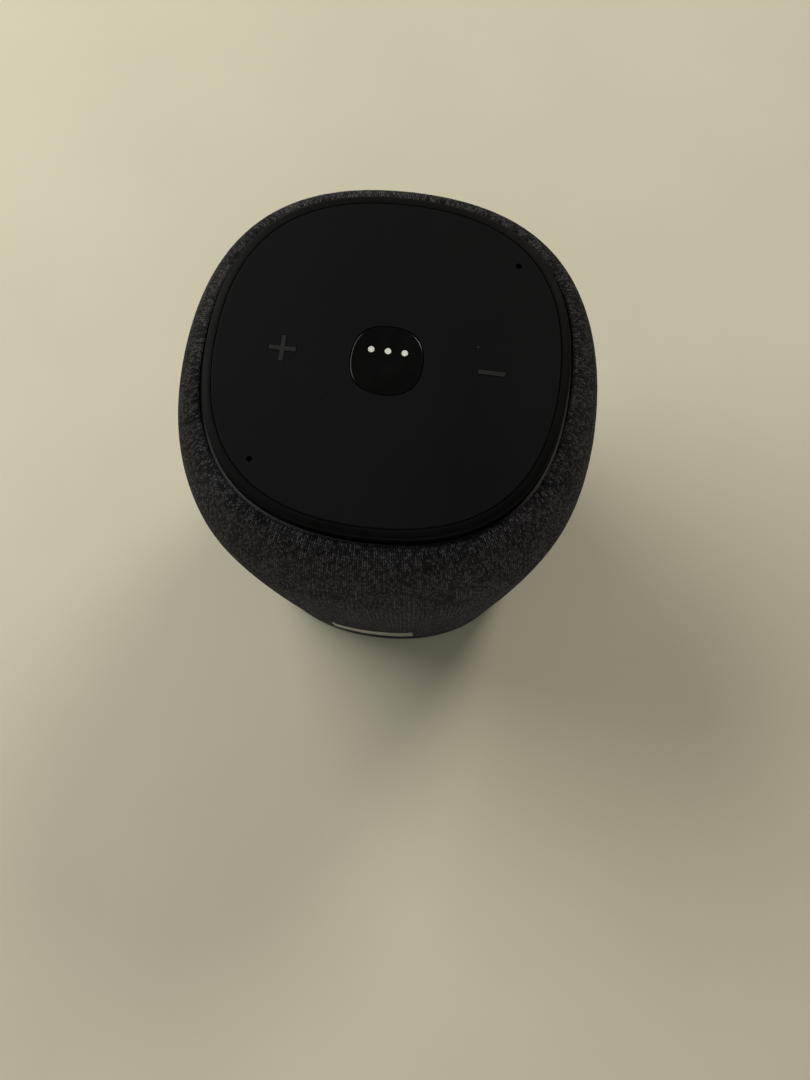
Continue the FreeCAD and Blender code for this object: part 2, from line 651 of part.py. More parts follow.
def driver_basket():
    """A pressed frame: a flange, four arms and the seat for the magnet's top plate."""
    wall = 1.2
    seat_z = TOP_PLATE_Z - SEAT_GAP
    outline = [
        (SURROUND_R - 0.2, FLANGE_LOW_Z),
        (FLANGE_R, FLANGE_LOW_Z),
        (FLANGE_R, FLANGE_TOP_Z),
        (DRIVER_HOLE_R - FIT_GAP, FLANGE_TOP_Z),
        (TOP_PLATE_R + wall, seat_z),
        (COIL_OUT + 3.0, seat_z),
        (COIL_OUT + 3.0, seat_z - wall),
        (TOP_PLATE_R, seat_z - wall),
        (DRIVER_HOLE_R - FIT_GAP - wall, FLANGE_TOP_Z - 0.4),
        (DRIVER_HOLE_R - FIT_GAP - wall, FLANGE_LOW_Z + 0.6),
        (SURROUND_R - 0.2, FLANGE_LOW_Z + 0.6),
    ]
    frame = revolved(outline)
    for angle in (45, 135, 225, 315):
        window = box(12, 40, -11, 11, FLANGE_TOP_Z + 2.2, seat_z - wall - 1.6)
        window.rotate(Vector(0, 0, 0), Vector(0, 0, 1), angle)
        frame = frame.cut(window)
    for x, y in DRIVER_SCREWS:
        frame = frame.cut(screw_hole(x, y, 20, FLANGE_TOP_Z + 1, SMALL_SCREW_R))
    return frame


def driver_screws():
    seat = FLANGE_LOW_Z - SEAT_GAP
    length = FLANGE_THICK + DRIVER_GASKET + BAFFLE_THICK
    return Part.makeCompound([small_screw(x, y, seat, length) for x, y in DRIVER_SCREWS])


def driver_top_plate():
    return ring(COIL_OUT + COIL_GAP, TOP_PLATE_R, TOP_PLATE_Z, TOP_PLATE_Z + TOP_PLATE_H)


def driver_magnet():
    return ring(COIL_OUT + 3.0, MAGNET_R, MAGNET_Z + SEAT_GAP, YOKE_Z - SEAT_GAP)


def driver_yoke():
    """A round back plate with the centre pole."""
    plate = cylinder(YOKE_R, YOKE_Z, YOKE_Z + YOKE_H)
    pole = cylinder(COIL_R - COIL_GAP, TOP_PLATE_Z - 0.5, YOKE_Z + 1)
    body = plate.fuse(pole).removeSplitter()
    return body.cut(cylinder(2.5, 0, HEIGHT))


def driver_cone():
    """A shallow paper cone. Its wide end faces down."""
    low = FLANGE_LOW_Z + SEAT_GAP
    return revolved(
        [
            (CONE_R, low),
            (CONE_R, low + CONE_THICK),
            (CONE_NECK_R + CONE_THICK, CONE_TOP_Z),
            (COIL_OUT + 0.05, CONE_TOP_Z),
            (COIL_OUT + 0.05, CONE_TOP_Z - CONE_THICK),
            (CONE_R - CONE_THICK, low),
        ]
    )


def dust_cap():
    """A shallow dome over the coil's open end."""
    rise, rim = 2.6, COIL_R - 0.1
    low = CONE_TOP_Z - 2.2
    radius = (rim**2 + rise**2) / (2 * rise)
    centre = Vector(0, 0, low - rise + radius)
    dome = Part.makeSphere(radius, centre).cut(Part.makeSphere(radius - 0.5, centre))
    return dome.common(cylinder(rim, low - rise - 1, low))


def voice_coil():
    low = CONE_TOP_Z - 2.6
    former = ring(COIL_R, COIL_R + 0.2, low, low + COIL_LENGTH)
    winding = ring(COIL_R + 0.15, COIL_OUT, TOP_PLATE_Z - 1.2, TOP_PLATE_Z + TOP_PLATE_H + 0.6)
    neck = ring(COIL_R + 0.15, COIL_OUT, CONE_TOP_Z - 1.2, CONE_TOP_Z + 0.3)
    return fuse_all([former, winding, neck])


def half_roll(r_in, r_out, z, height, thick):
    """A soft ring with flat lips at z and a half roll between them that hangs below z."""
    middle = (r_in + r_out) / 2
    corners = [
        (r_in + thick, z),
        (r_in + thick, z + thick),
        (r_in - SURROUND_LIP, z + thick),
        (r_in - SURROUND_LIP, z),
        (r_in, z),
    ]
    far = [
        (r_out, z),
        (r_out + SURROUND_LIP, z),
        (r_out + SURROUND_LIP, z + thick),
        (r_out - thick, z + thick),
        (r_out - thick, z),
    ]
    edges = [Part.makePolygon([Vector(r, 0, h) for r, h in run]) for run in (corners, far)]
    outer = Part.Arc(Vector(r_in, 0, z), Vector(middle, 0, z - height), Vector(r_out, 0, z))
    inner = Part.Arc(
        Vector(r_out - thick, 0, z), Vector(middle, 0, z - height + thick), Vector(r_in + thick, 0, z)
    )
    wires = edges[0].Edges + [outer.toShape()] + edges[1].Edges + [inner.toShape()]
    outline = Part.Wire(Part.sortEdges(wires)[0])
    return Part.Face(outline).revolve(Vector(0, 0, 0), Vector(0, 0, 1), 360)


def driver_surround():
    z = FLANGE_LOW_Z - SEAT_GAP - SURROUND_THICK
    return half_roll(CONE_R + SURROUND_LIP - 0.3, SURROUND_R, z, SURROUND_ROLL_H, SURROUND_THICK)


def driver_spider():
    """The pleated ring that centres the coil, here one roll under the frame's floor."""
    wall = 1.2
    z = TOP_PLATE_Z - SEAT_GAP - wall - SEAT_GAP - SPIDER_THICK
    return half_roll(COIL_R + 0.3 + SURROUND_LIP, SPIDER_R, z, SPIDER_ROLL_H, SPIDER_THICK)


# ---- passive radiators, built along +Z from the seat and turned to face +X or -X
def to_side(shape, side):
    shape.rotate(Vector(0, 0, 0), Vector(0, 1, 0), 90 * side)
    shape.translate(Vector(side * RADIATOR_SEAT_X, 0, RADIATOR_Z))
    return shape


def radiator_screw_points():
    return [
        (RADIATOR_SCREW_PITCH_R * math.cos(math.radians(a)), RADIATOR_SCREW_PITCH_R * math.sin(math.radians(a)))
        for a in RADIATOR_SCREW_ANGLES
    ]


def radiator_frame(side):
    top = SEAT_GAP + RADIATOR_FRAME_H
    frame = ring(RADIATOR_HOLE_R, RADIATOR_RECESS_R - FIT_GAP, SEAT_GAP, top)
    for x, y in radiator_screw_points():
        frame = frame.cut(screw_hole(x, y, -1, top + 1, SMALL_SCREW_R))
    return to_side(frame, side)


def radiator_surround(side):
    z = RADIATOR_FRAME_H + 2 * SEAT_GAP
    r_out = RADIATOR_HOLE_R - 0.3
    return to_side(half_roll(RADIATOR_PLATE_R + 0.2, r_out, z, RADIATOR_ROLL_H, SURROUND_THICK), side)


def radiator_plate(side):
    low = RADIATOR_FRAME_H + 3 * SEAT_GAP + SURROUND_THICK
    plate = cylinder(RADIATOR_PLATE_R, low, low + RADIATOR_PLATE_H)
    rim = [e for e in plate.Edges if e.BoundBox.ZMin > low + RADIATOR_PLATE_H - 1e-6]
    plate = plate.makeFillet(0.4, rim)
    return to_side(plate.fuse(cylinder(RADIATOR_WEIGHT_R, low - RADIATOR_WEIGHT_H, low)).removeSplitter(), side)


def radiator_screws(side):
    seat = RADIATOR_FRAME_H + 2 * SEAT_GAP
    length = RADIATOR_FRAME_H + BOX_WALL - 0.3
    screws = [small_screw(x, y, seat, length, up=False) for x, y in radiator_screw_points()]
    return to_side(Part.makeCompound(screws), side)


# ---- power supply and main boards
PSU_BLOCKS = [(13.0, 20.6), (-14.0, 17.0)]
MAIN_BLOCKS = [(-14.0, 17.0), (0.0, -17.0)]
BLOCK_HALF_X = 4.0
BLOCK_HALF_Y = 4.0
BLOCK_H = 4.6


def block(x, y, z):
    """A cable connector standing on a board."""
    body = box(x - BLOCK_HALF_X, x + BLOCK_HALF_X, y - BLOCK_HALF_Y, y + BLOCK_HALF_Y, z, z + BLOCK_H)
    return body.makeFillet(0.4, [e for e in body.Edges if e.BoundBox.ZMin > z + BLOCK_H - 1e-6])


def psu_board():
    board = box(-PSU_HALF_X, PSU_HALF_X, -PSU_HALF_Y, PSU_HALF_Y, PSU_Z, PSU_Z + BOARD_THICK)
    board = board.makeFillet(2.0, [e for e in board.Edges if e.BoundBox.ZLength > 1])
    for x, y in PSU_POSTS:
        board = board.cut(screw_hole(x, y, PSU_Z - 1, PSU_Z + 4))
    return board


def psu_transformer():
    low = PSU_Z + BOARD_THICK + SEAT_GAP
    core = box(-18, 0, -15, 3, low, low + 12).cut(box(-19, 1, -11.5, -0.5, low + 3, low + 9))
    winding = box(-16, -2, -11.3, -0.7, low + 1, low + 11)
    winding = winding.makeFillet(1.5, [e for e in winding.Edges if e.BoundBox.ZLength > 5])
    return core.fuse(winding.cut(box(-19, 1, -11.5, -0.5, low - 1, low + 3 - SEAT_GAP))).removeSplitter()


def psu_capacitors():
    low = PSU_Z + BOARD_THICK + SEAT_GAP
    cans = []
    for x, y, r, h in ((9, -14, 5.0, 13.0), (20, -14, 5.0, 13.0), (20, -1, 4.0, 10.0)):
        can = cylinder(r, low, low + h, x, y)
        cans.append(can.makeFillet(0.6, [e for e in can.Edges if e.BoundBox.ZMin > low + h - 1e-6]))
    return Part.makeCompound(cans)


def psu_terminals():
    low = PSU_Z + BOARD_THICK + SEAT_GAP
    return Part.makeCompound([block(x, y, low) for x, y in PSU_BLOCKS])


def psu_screws():
    return Part.makeCompound([screw(x, y, PSU_Z - SEAT_GAP, BOARD_THICK + 6.0) for x, y in PSU_POSTS])


def main_board():
    board = box(-MAIN_HALF_X, MAIN_HALF_X, -MAIN_HALF_Y, MAIN_HALF_Y, MAIN_BOARD_Z, MAIN_BOARD_Z + BOARD_THICK)
    board = board.makeFillet(2.0, [e for e in board.Edges if e.BoundBox.ZLength > 1])
    for x, y in MAIN_POSTS:
        board = board.cut(screw_hole(x, y, MAIN_BOARD_Z - 1, MAIN_BOARD_Z + 4))
    return board


def main_board_screws():
    seat = MAIN_BOARD_Z + BOARD_THICK + SEAT_GAP
    return Part.makeCompound([screw(x, y, seat, BOARD_THICK + 3.6, up=False) for x, y in MAIN_POSTS])


def main_shield():
    """A pressed can over the processor and radio."""
    low = MAIN_BOARD_Z + BOARD_THICK + SEAT_GAP
    can = box(-13, 13, -9, 9, low, low + 3)
    can = can.makeFillet(0.8, [e for e in can.Edges if e.BoundBox.ZMax > low + 1])
    return can.cut(box(-12.6, 12.6, -8.6, 8.6, low - 1, low + 2.6))


def heat_spreader():
    low = MAIN_BOARD_Z + BOARD_THICK + 3 + 2 * SEAT_GAP
    plate = box(-11, 11, -8, 8, low, low + 1.2)
    fins = [box(x - 0.5, x + 0.5, -8, 8, low + 1, low + 3.2) for x in (-10, -6, -2, 2, 6, 10)]
    return fuse_all([plate] + fins)


def board_connectors():
    low = MAIN_BOARD_Z + BOARD_THICK + SEAT_GAP
    return Part.makeCompound([block(x, y, low) for x, y in MAIN_BLOCKS])


def wifi_antennas():
    low = MAIN_BOARD_Z + BOARD_THICK + SEAT_GAP
    blades = []
    for x in (-1, 1):
        foot = box(x * 22 - 1.5, x * 22 + 1.5, -6, 6, low, low + 0.6)
        blade = box(x * 22 - 0.4, x * 22 + 0.4, -6, 6, low, low + 7)
        blades.append(foot.fuse(blade).removeSplitter())
    return Part.makeCompound(blades)


# ---- control panel and what lies under it
def side_arms(prism_shape):
    """The stretches of a rounded-square wall between its corners."""
    reach = SKIRT_HALF * 0.7
    for x in (-1, 1):
        for y in (-1, 1):
            prism_shape = prism_shape.cut(cylinder(9.0, 0, DECK_LOW_Z, x * reach, y * reach))
    return prism_shape


def top_frame():
    skirt_low = HEIGHT - BEZEL_DEPTH - BEZEL_LIP
    deck = prism(SKIRT_HALF, DECK_LOW_Z, DECK_TOP_Z - SEAT_GAP)
    skirt = prism(SKIRT_HALF, skirt_low, DECK_LOW_Z + 1).cut(
        prism(SKIRT_HALF - SKIRT_WALL, skirt_low - 1, DECK_LOW_Z + 2)
    )
    parts = [deck, side_arms(skirt)]
    parts += [cylinder(FRAME_POST_R, FRAME_SPLIT_Z + SEAT_GAP, DECK_LOW_Z + 1, x, y) for x, y in FRAME_POSTS]
    board_top = KEY_BOARD_Z + BOARD_THICK + SEAT_GAP
    parts += [cylinder(POST_R, board_top, DECK_LOW_Z + 1, x, y) for x, y in KEY_POSTS]
    body = fuse_all(parts)
    for x, y in FRAME_POSTS:
        body = body.cut(cylinder(SCREW_HEAD_R + FIT_GAP, frame_screw_seat() - SEAT_GAP, HEIGHT, x, y))
        body = body.cut(screw_hole(x, y, FRAME_SPLIT_Z - 1, HEIGHT))
    for x, y in KEY_POSTS:
        body = body.cut(screw_hole(x, y, board_top - 1, board_top + 6, SMALL_SCREW_R))
    body = body.cut(prism(TALK_HALF + FIT_GAP, DECK_LOW_Z - 1, HEIGHT))
    pocket_z = DECK_TOP_Z - KEY_PLATE_H - KEY_TRAVEL - 2 * SEAT_GAP
    for x in (-KEY_X, KEY_X):
        body = body.cut(cylinder(KEY_PLATE_R + FIT_GAP, pocket_z, HEIGHT, x, 0))
        body = body.cut(cylinder(STEM_R + FIT_GAP, DECK_LOW_Z - 1, HEIGHT, x, 0))
    for x, y in MICS:
        body = body.cut(cylinder(MIC_R + FIT_GAP, DECK_LOW_Z - 1, HEIGHT, x, y))
    return body


def frame_screw_seat():
    return FRAME_SPLIT_Z + FRAME_SEAT_H + SEAT_GAP


def frame_screws():
    return Part.makeCompound([screw(x, y, frame_screw_seat(), FRAME_SEAT_H + 8, up=False) for x, y in FRAME_POSTS])


def key_board():
    board = prism(KEY_BOARD_HALF, KEY_BOARD_Z, KEY_BOARD_Z + BOARD_THICK)
    for x, y in KEY_POSTS:
        board = board.cut(screw_hole(x, y, KEY_BOARD_Z - 1, KEY_BOARD_Z + 4, SMALL_SCREW_R))
    return board


def key_board_screws():
    seat = KEY_BOARD_Z - SEAT_GAP
    return Part.makeCompound([small_screw(x, y, seat, BOARD_THICK + 5) for x, y in KEY_POSTS])


def key_switches():
    low = KEY_BOARD_Z + BOARD_THICK + SEAT_GAP
    switches = []
    for x in (-KEY_X, 0, KEY_X):
        body = box(x - SWITCH_HALF, x + SWITCH_HALF, -SWITCH_HALF, SWITCH_HALF, low, SWITCH_TOP_Z)
        body = body.makeFillet(0.5, [e for e in body.Edges if e.BoundBox.ZLength > 1])
        switches.append(body.fuse(cylinder(SWITCH_NUB_R, low, SWITCH_TOP_Z + SWITCH_NUB_H, x, 0)).removeSplitter())
    return Part.makeCompound(switches)


def mic_boots():
    low = DECK_LOW_Z - SEAT_GAP - MIC_BOOT_H
    return Part.makeCompound([ring(MIC_R + FIT_GAP, MIC_BOOT_R, low, DECK_LOW_Z - SEAT_GAP, x, y) for x, y in MICS])


def mic_boards():
    """A round board under each boot, with its microphone can on the lower side."""
    top = DECK_LOW_Z - 2 * SEAT_GAP - MIC_BOOT_H
    boards = []
    for x, y in MICS:
        board = cylinder(MIC_BOARD_R, top - MIC_BOARD_THICK, top, x, y)
        can = box(x - 1.8, x + 1.8, y - 1.3, y + 1.3, top - MIC_BOARD_THICK - 1.1, top - MIC_BOARD_THICK)
        boards.append(board.fuse(can).removeSplitter())
    return Part.makeCompound(boards)


def bezel_ring():
    """A ring round the panel whose top rolls down outwards."""
    top = PANEL_TOP_Z - FIT_GAP
    low = HEIGHT - BEZEL_DEPTH
    run = BEZEL_OUT - BEZEL_IN
    levels = [(low, BEZEL_OUT), (top - BEZEL_DROP, BEZEL_OUT)]
    crown = []
    for degrees in (0, 22, 45, 67, 90):
        a = math.radians(degrees)
        crown.append(section(BEZEL_OUT - run * (1 - math.cos(a)), PANEL_SQUARE, top - BEZEL_DROP * (1 - math.sin(a))))
    body = prism(BEZEL_OUT, levels[0][0], levels[1][0]).fuse(Part.makeLoft(crown, True, False)).removeSplitter()
    return body.cut(prism(BEZEL_IN, low - 1, HEIGHT + 1))


def glyph(x, upright, z0, z1, grow=0.0):
    """The mark of a volume key: a level bar, with an upright one across it for louder."""
    long, short = GLYPH_LENGTH / 2 + grow, GLYPH_STROKE / 2 + grow
    level = box(x - long, x + long, -short, short, z0, z1)
    if not upright:
        return level
    return level.fuse(box(x - short, x + short, -long, long, z0, z1)).removeSplitter()


def control_panel():
    panel = prism(PANEL_TOP_HALF, DECK_TOP_Z, PANEL_TOP_Z)
    panel = panel.makeFillet(PANEL_EDGE_ROUND, [e for e in panel.Edges if e.BoundBox.ZMin > PANEL_TOP_Z - 1e-6])
    panel = panel.cut(prism(TALK_HALF + FIT_GAP, DECK_TOP_Z - 1, HEIGHT + 1))
    for x in (-KEY_X, KEY_X):
        panel = panel.cut(glyph(x, x < 0, DECK_TOP_Z - 1, HEIGHT + 1, FIT_GAP))
    for x, y in MICS:
        panel = panel.cut(cylinder(MIC_R, DECK_TOP_Z - 1, HEIGHT + 1, x, y))
    return panel


def talk_button():
    """A hollow cap with a stem that meets the middle switch and a flange under the deck."""
    low, top = DECK_LOW_Z - SEAT_GAP - TALK_FLANGE_H, PANEL_TOP_Z - TALK_RECESS
    cap = prism(TALK_HALF, low, top)
    cap = cap.makeFillet(0.3, [e for e in cap.Edges if e.BoundBox.ZMin > top - 1e-6])
    flange = prism(TALK_HALF + TALK_FLANGE, low, low + TALK_FLANGE_H)
    cap = cap.fuse(flange).removeSplitter()
    cap = cap.cut(prism(TALK_HALF - TALK_SKIN, low - 1, top - TALK_SKIN))
    ribs = [box(-TALK_HALF + 1, TALK_HALF - 1, -0.5, 0.5, low, top - 1)]
    cap = fuse_all([cap, cylinder(STEM_R, STEM_LOW_Z, top - 1)] + ribs)
    for x in (-WINDOW_PITCH, 0, WINDOW_PITCH):
        cap = cap.cut(cylinder(WINDOW_R + HOLE_GAP, top - TALK_SKIN, HEIGHT, x, WINDOW_Y))
    return cap


def status_windows():
    top = PANEL_TOP_Z - TALK_RECESS
    pins = [cylinder(WINDOW_R, top - TALK_SKIN, top, x, WINDOW_Y) for x in (-WINDOW_PITCH, 0, WINDOW_PITCH)]
    return Part.makeCompound(pins)


def volume_key(x, upright):
    top = DECK_TOP_Z - 2 * SEAT_GAP
    plate = cylinder(KEY_PLATE_R, top - KEY_PLATE_H, top, x, 0)
    mark = glyph(x, upright, top - KEY_PLATE_H / 2, HEIGHT)
    stem = cylinder(STEM_R, STEM_LOW_Z, top - KEY_PLATE_H / 2, x, 0)
    return fuse_all([plate, mark, stem])


# ---- connector panel at the back
def io_posts():
    lift = IO_POST_R + 0.3
    return [
        (x, z)
        for x in (IO_BOARD_LEFT + lift, IO_BOARD_RIGHT - lift)
        for z in (IO_BOARD_LOW_Z + lift, IO_BOARD_HIGH_Z - lift)
    ]


def rear_panel():
    """A plate that follows the barrel, with a flange behind the shell and posts for its board."""
    plate = barrel(PANEL_RECESS).cut(barrel(PANEL_RECESS + PANEL_PLATE)).common(panel_window(0))
    lip = barrel(SHELL_INNER + FIT_GAP).cut(barrel(SHELL_INNER + PANEL_LIP_THICK)).common(panel_window(PANEL_LIP))
    lip = lip.cut(panel_window(-PANEL_LIP))
    front = IO_BOARD_Y + BOARD_THICK + SEAT_GAP
    inner = barrel(PANEL_RECESS + PANEL_PLATE / 2)
    posts = [cylinder_along("y", IO_POST_R, front, R_MAX, x, z).common(inner) for x, z in io_posts()]
    body = fuse_all([plate, lip] + posts)
    body = body.cut(stadium(INLET_HALF, INLET_R, 20, R_MAX + 5, INLET_Z, INLET_WALL + FIT_GAP))
    body = body.cut(cylinder_along("y", BUTTON_R + FIT_GAP, 30, R_MAX + 5, 0, BUTTON_Z))
    slot = SLIDER_HALF + SLIDER_TRAVEL / 2 + FIT_GAP
    half_h = SLIDER_H / 2 + FIT_GAP
    body = body.cut(box(-slot, slot, 30, R_MAX + 5, SLIDER_Z - half_h, SLIDER_Z + half_h))
    for x, z in io_posts():
        body = body.cut(cylinder_along("y", SMALL_SCREW_R + HOLE_GAP, front - 1, front + 3.4, x, z))
    return body


def power_inlet():
    """A two-pin mains inlet: a deep round-ended cup, flush with the panel."""
    cup = stadium(INLET_HALF, INLET_R, INLET_BACK_Y, R_MAX, INLET_Z, INLET_WALL)
    cup = cup.common(barrel(PANEL_RECESS))
    cup = cup.cut(stadium(INLET_HALF, INLET_R, INLET_BACK_Y + INLET_FLOOR, R_MAX + 1, INLET_Z))
    for x in (-PIN_PITCH / 2, PIN_PITCH / 2):
        cup = cup.cut(cylinder_along("y", PIN_R + HOLE_GAP, INLET_BACK_Y - 1, INLET_BACK_Y + 5, x, INLET_Z))
    return cup


def inlet_pins():
    pins = []
    for x in (-PIN_PITCH / 2, PIN_PITCH / 2):
        end = INLET_BACK_Y + INLET_FLOOR + PIN_LENGTH
        pin = cylinder_along("y", PIN_R, INLET_BACK_Y - 2, end, x, INLET_Z)
        pins.append(pin.makeFillet(0.5, [e for e in pin.Edges if e.BoundBox.YMin > end - 1e-6]))
    return Part.makeCompound(pins)


def io_board():
    board = box(IO_BOARD_LEFT, IO_BOARD_RIGHT, IO_BOARD_Y, IO_BOARD_Y + BOARD_THICK, IO_BOARD_LOW_Z, IO_BOARD_HIGH_Z)
    for x, z in io_posts():
        board = board.cut(cylinder_along("y", SMALL_SCREW_R + HOLE_GAP, 30, 60, x, z))
    return board


def io_screws():
    screws = []
    for x, z in io_posts():
        piece = small_screw(0, 0, 0, BOARD_THICK + 3)
        piece.rotate(Vector(0, 0, 0), Vector(1, 0, 0), -90)
        piece.translate(Vector(x, IO_BOARD_Y - SEAT_GAP, z))
        screws.append(piece)
    return Part.makeCompound(screws)


def io_switches():
    """The slide switch and the push switch on the connector board."""
    low = IO_BOARD_Y + BOARD_THICK + SEAT_GAP
    slide = box(-5, 5, low, IO_SWITCH_Y, SLIDER_Z - 2.5, SLIDER_Z + 2.5)
    push = box(-3, 3, low, IO_SWITCH_Y - SWITCH_NUB_H, BUTTON_Z - 3, BUTTON_Z + 3)
    push = push.fuse(cylinder_along("y", SWITCH_NUB_R, low, IO_SWITCH_Y, 0, BUTTON_Z)).removeSplitter()
    return Part.makeCompound([slide, push])


def mute_slider():
    """Shown at the left end of its travel, where the microphones are on."""
    start, middle = IO_SWITCH_Y + SEAT_GAP, -SLIDER_TRAVEL / 2
    end = flank_half(SLIDER_Z) - PANEL_RECESS + SLIDER_PROUD
    knob = box(middle - SLIDER_HALF, middle + SLIDER_HALF, start, end, SLIDER_Z - SLIDER_H / 2, SLIDER_Z + SLIDER_H / 2)
    knob = knob.makeFillet(0.4, [e for e in knob.Edges if e.BoundBox.YMin > end - 1e-6])
    half, tall = SLIDER_FOOT_HALF, SLIDER_FOOT_H / 2
    foot = box(middle - half, middle + half, start, start + SLIDER_FOOT_THICK, SLIDER_Z - tall, SLIDER_Z + tall)
    return knob.fuse(foot).removeSplitter()


def pairing_button():
    start = IO_SWITCH_Y + BUTTON_TRAVEL + 2 * SEAT_GAP
    end = flank_half(BUTTON_Z) - PANEL_RECESS
    cap = cylinder_along("y", BUTTON_R, start, end, 0, BUTTON_Z)
    cap = cap.makeFillet(0.4, [e for e in cap.Edges if e.BoundBox.YMin > end - 1e-6])
    flange = cylinder_along("y", BUTTON_R + BUTTON_FLANGE, start, start + 0.6, 0, BUTTON_Z)
    return cap.fuse(flange).removeSplitter()


# ---- internal leads
def power_lead():
    inlet_top = INLET_Z + INLET_R + INLET_WALL
    end_y = PSU_BLOCKS[0][1] + BLOCK_HALF_Y + 2 * FIT_GAP
    x, y = POWER_LEAD_X, POWER_LEAD_Y
    return lead([(3.0, y, inlet_top + 0.2), (3.0, y, 31.8), (x, y, 31.8), (x, y, 84.0), (x, end_y, 84.0)], POWER_LEAD_R)


def psu_output_lead():
    x, y = LEAD_HOLES[1]
    start_y = PSU_BLOCKS[1][1] + BLOCK_HALF_Y + 2 * FIT_GAP
    end_y = MAIN_BLOCKS[0][1] + BLOCK_HALF_Y + 2 * FIT_GAP
    return lead([(x, start_y, 84.0), (x, y, 84.0), (x, y, 110.0), (x, end_y, 110.0)], LEAD_R)


def driver_lead():
    x, y = LEAD_HOLES[0]
    end_y = MAIN_BLOCKS[1][1] - BLOCK_HALF_Y - 2 * FIT_GAP
    return lead([(x, -24.6, 42.0), (x, y, 42.0), (x, y, 110.0), (x, end_y, 110.0)], LEAD_R)


def ribbon_cable():
    """A flat cable that turns back from the main board's top to the key board's underside."""
    low, high = MAIN_BOARD_Z + BOARD_THICK + 0.4, KEY_BOARD_Z - 0.3
    thick, half, y0, y1 = 0.3, 5.0, 10.0, 16.0
    middle, r = (low + high) / 2, (high - low) / 2
    arcs = [
        Part.Arc(Vector(0, y1, middle - r + t), Vector(0, y1 + r - t, middle), Vector(0, y1, middle + r - t)).toShape()
        for t in (0, thick)
    ]
    ends = [
        [(y1, low), (y0, low), (y0, low + thick), (y1, low + thick)],
        [(y1, high), (y0, high), (y0, high - thick), (y1, high - thick)],
    ]
    edges = [e for run in ends for e in Part.makePolygon([Vector(0, y, z) for y, z in run]).Edges]
    outline = Part.Wire(Part.sortEdges(edges + arcs)[0])
    cable = Part.Face(outline).extrude(Vector(2 * half, 0, 0))
    cable.translate(Vector(-half, 0, 0))
    return cable


NODES = {
    "foot_ring": foot_ring,
    "base_plate": base_plate,
    "base_screws": lambda: Part.makeCompound([base_screws(), diffuser_screws()]),
    "sound_diffuser": sound_diffuser,
    "fabric_sleeve": fabric_sleeve,
    "grille_shell": grille_shell,
    "front_badge": front_badge,
    "speaker_box": speaker_box,
    "lead_grommet": lead_grommet,
    "box_gasket": box_gasket,
    "box_lid": box_lid,
    "case_screws": lambda: Part.makeCompound([lid_screws(), frame_screws()]),
    "driver_gasket": driver_gasket,
    "driver_basket": driver_basket,
    "driver_screws": driver_screws,
    "driver_top_plate": driver_top_plate,
    "driver_magnet": driver_magnet,
    "driver_yoke": driver_yoke,
    "driver_cone": driver_cone,
    "dust_cap": dust_cap,
    "voice_coil": voice_coil,
    "driver_surround": driver_surround,
    "driver_spider": driver_spider,
    "radiator_frame_left": lambda: radiator_frame(-1),
    "radiator_frame_right": lambda: radiator_frame(1),
    "radiator_surround_left": lambda: radiator_surround(-1),
    "radiator_surround_right": lambda: radiator_surround(1),
    "radiator_plate_left": lambda: radiator_plate(-1),
    "radiator_plate_right": lambda: radiator_plate(1),
    "radiator_screws": lambda: Part.makeCompound([radiator_screws(-1), radiator_screws(1)]),
    "psu_board": psu_board,
    "psu_transformer": psu_transformer,
    "psu_capacitors": psu_capacitors,
    "main_board": main_board,
    "board_screws": lambda: Part.makeCompound([psu_screws(), main_board_screws()]),
    "main_shield": main_shield,
    "heat_spreader": heat_spreader,
    "board_connectors": lambda: Part.makeCompound([psu_terminals(), board_connectors()]),
    "wifi_antennas": wifi_antennas,
    "top_frame": top_frame,
    "key_board": key_board,
    "small_screws": lambda: Part.makeCompound([key_board_screws(), io_screws()]),
    "key_switches": key_switches,
    "mic_boots": mic_boots,
    "mic_boards": mic_boards,
    "bezel_ring": bezel_ring,
    "control_panel": control_panel,
    "talk_button": talk_button,
    "status_windows": status_windows,
    "volume_up_key": lambda: volume_key(-KEY_X, True),
    "volume_down_key": lambda: volume_key(KEY_X, False),
    "rear_panel": rear_panel,
    "power_inlet": power_inlet,
    "inlet_pins": inlet_pins,
    "io_board": io_board,
    "io_switches": io_switches,
    "mute_slider": mute_slider,
    "pairing_button": pairing_button,
    "leads": lambda: Part.makeCompound([power_lead(), psu_output_lead(), driver_lead(), ribbon_cable()]),
}

os.makedirs("parts", exist_ok=True)
for name, make in NODES.items():
    shape = make()
    shape.exportStep("parts/" + name + ".step")
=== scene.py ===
"""Looks of a compact smart speaker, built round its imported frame. Metres, +Z up, front towards -Y."""
import json
import math

import bmesh
import bpy
import numpy as np
from mathutils import Matrix, Vector


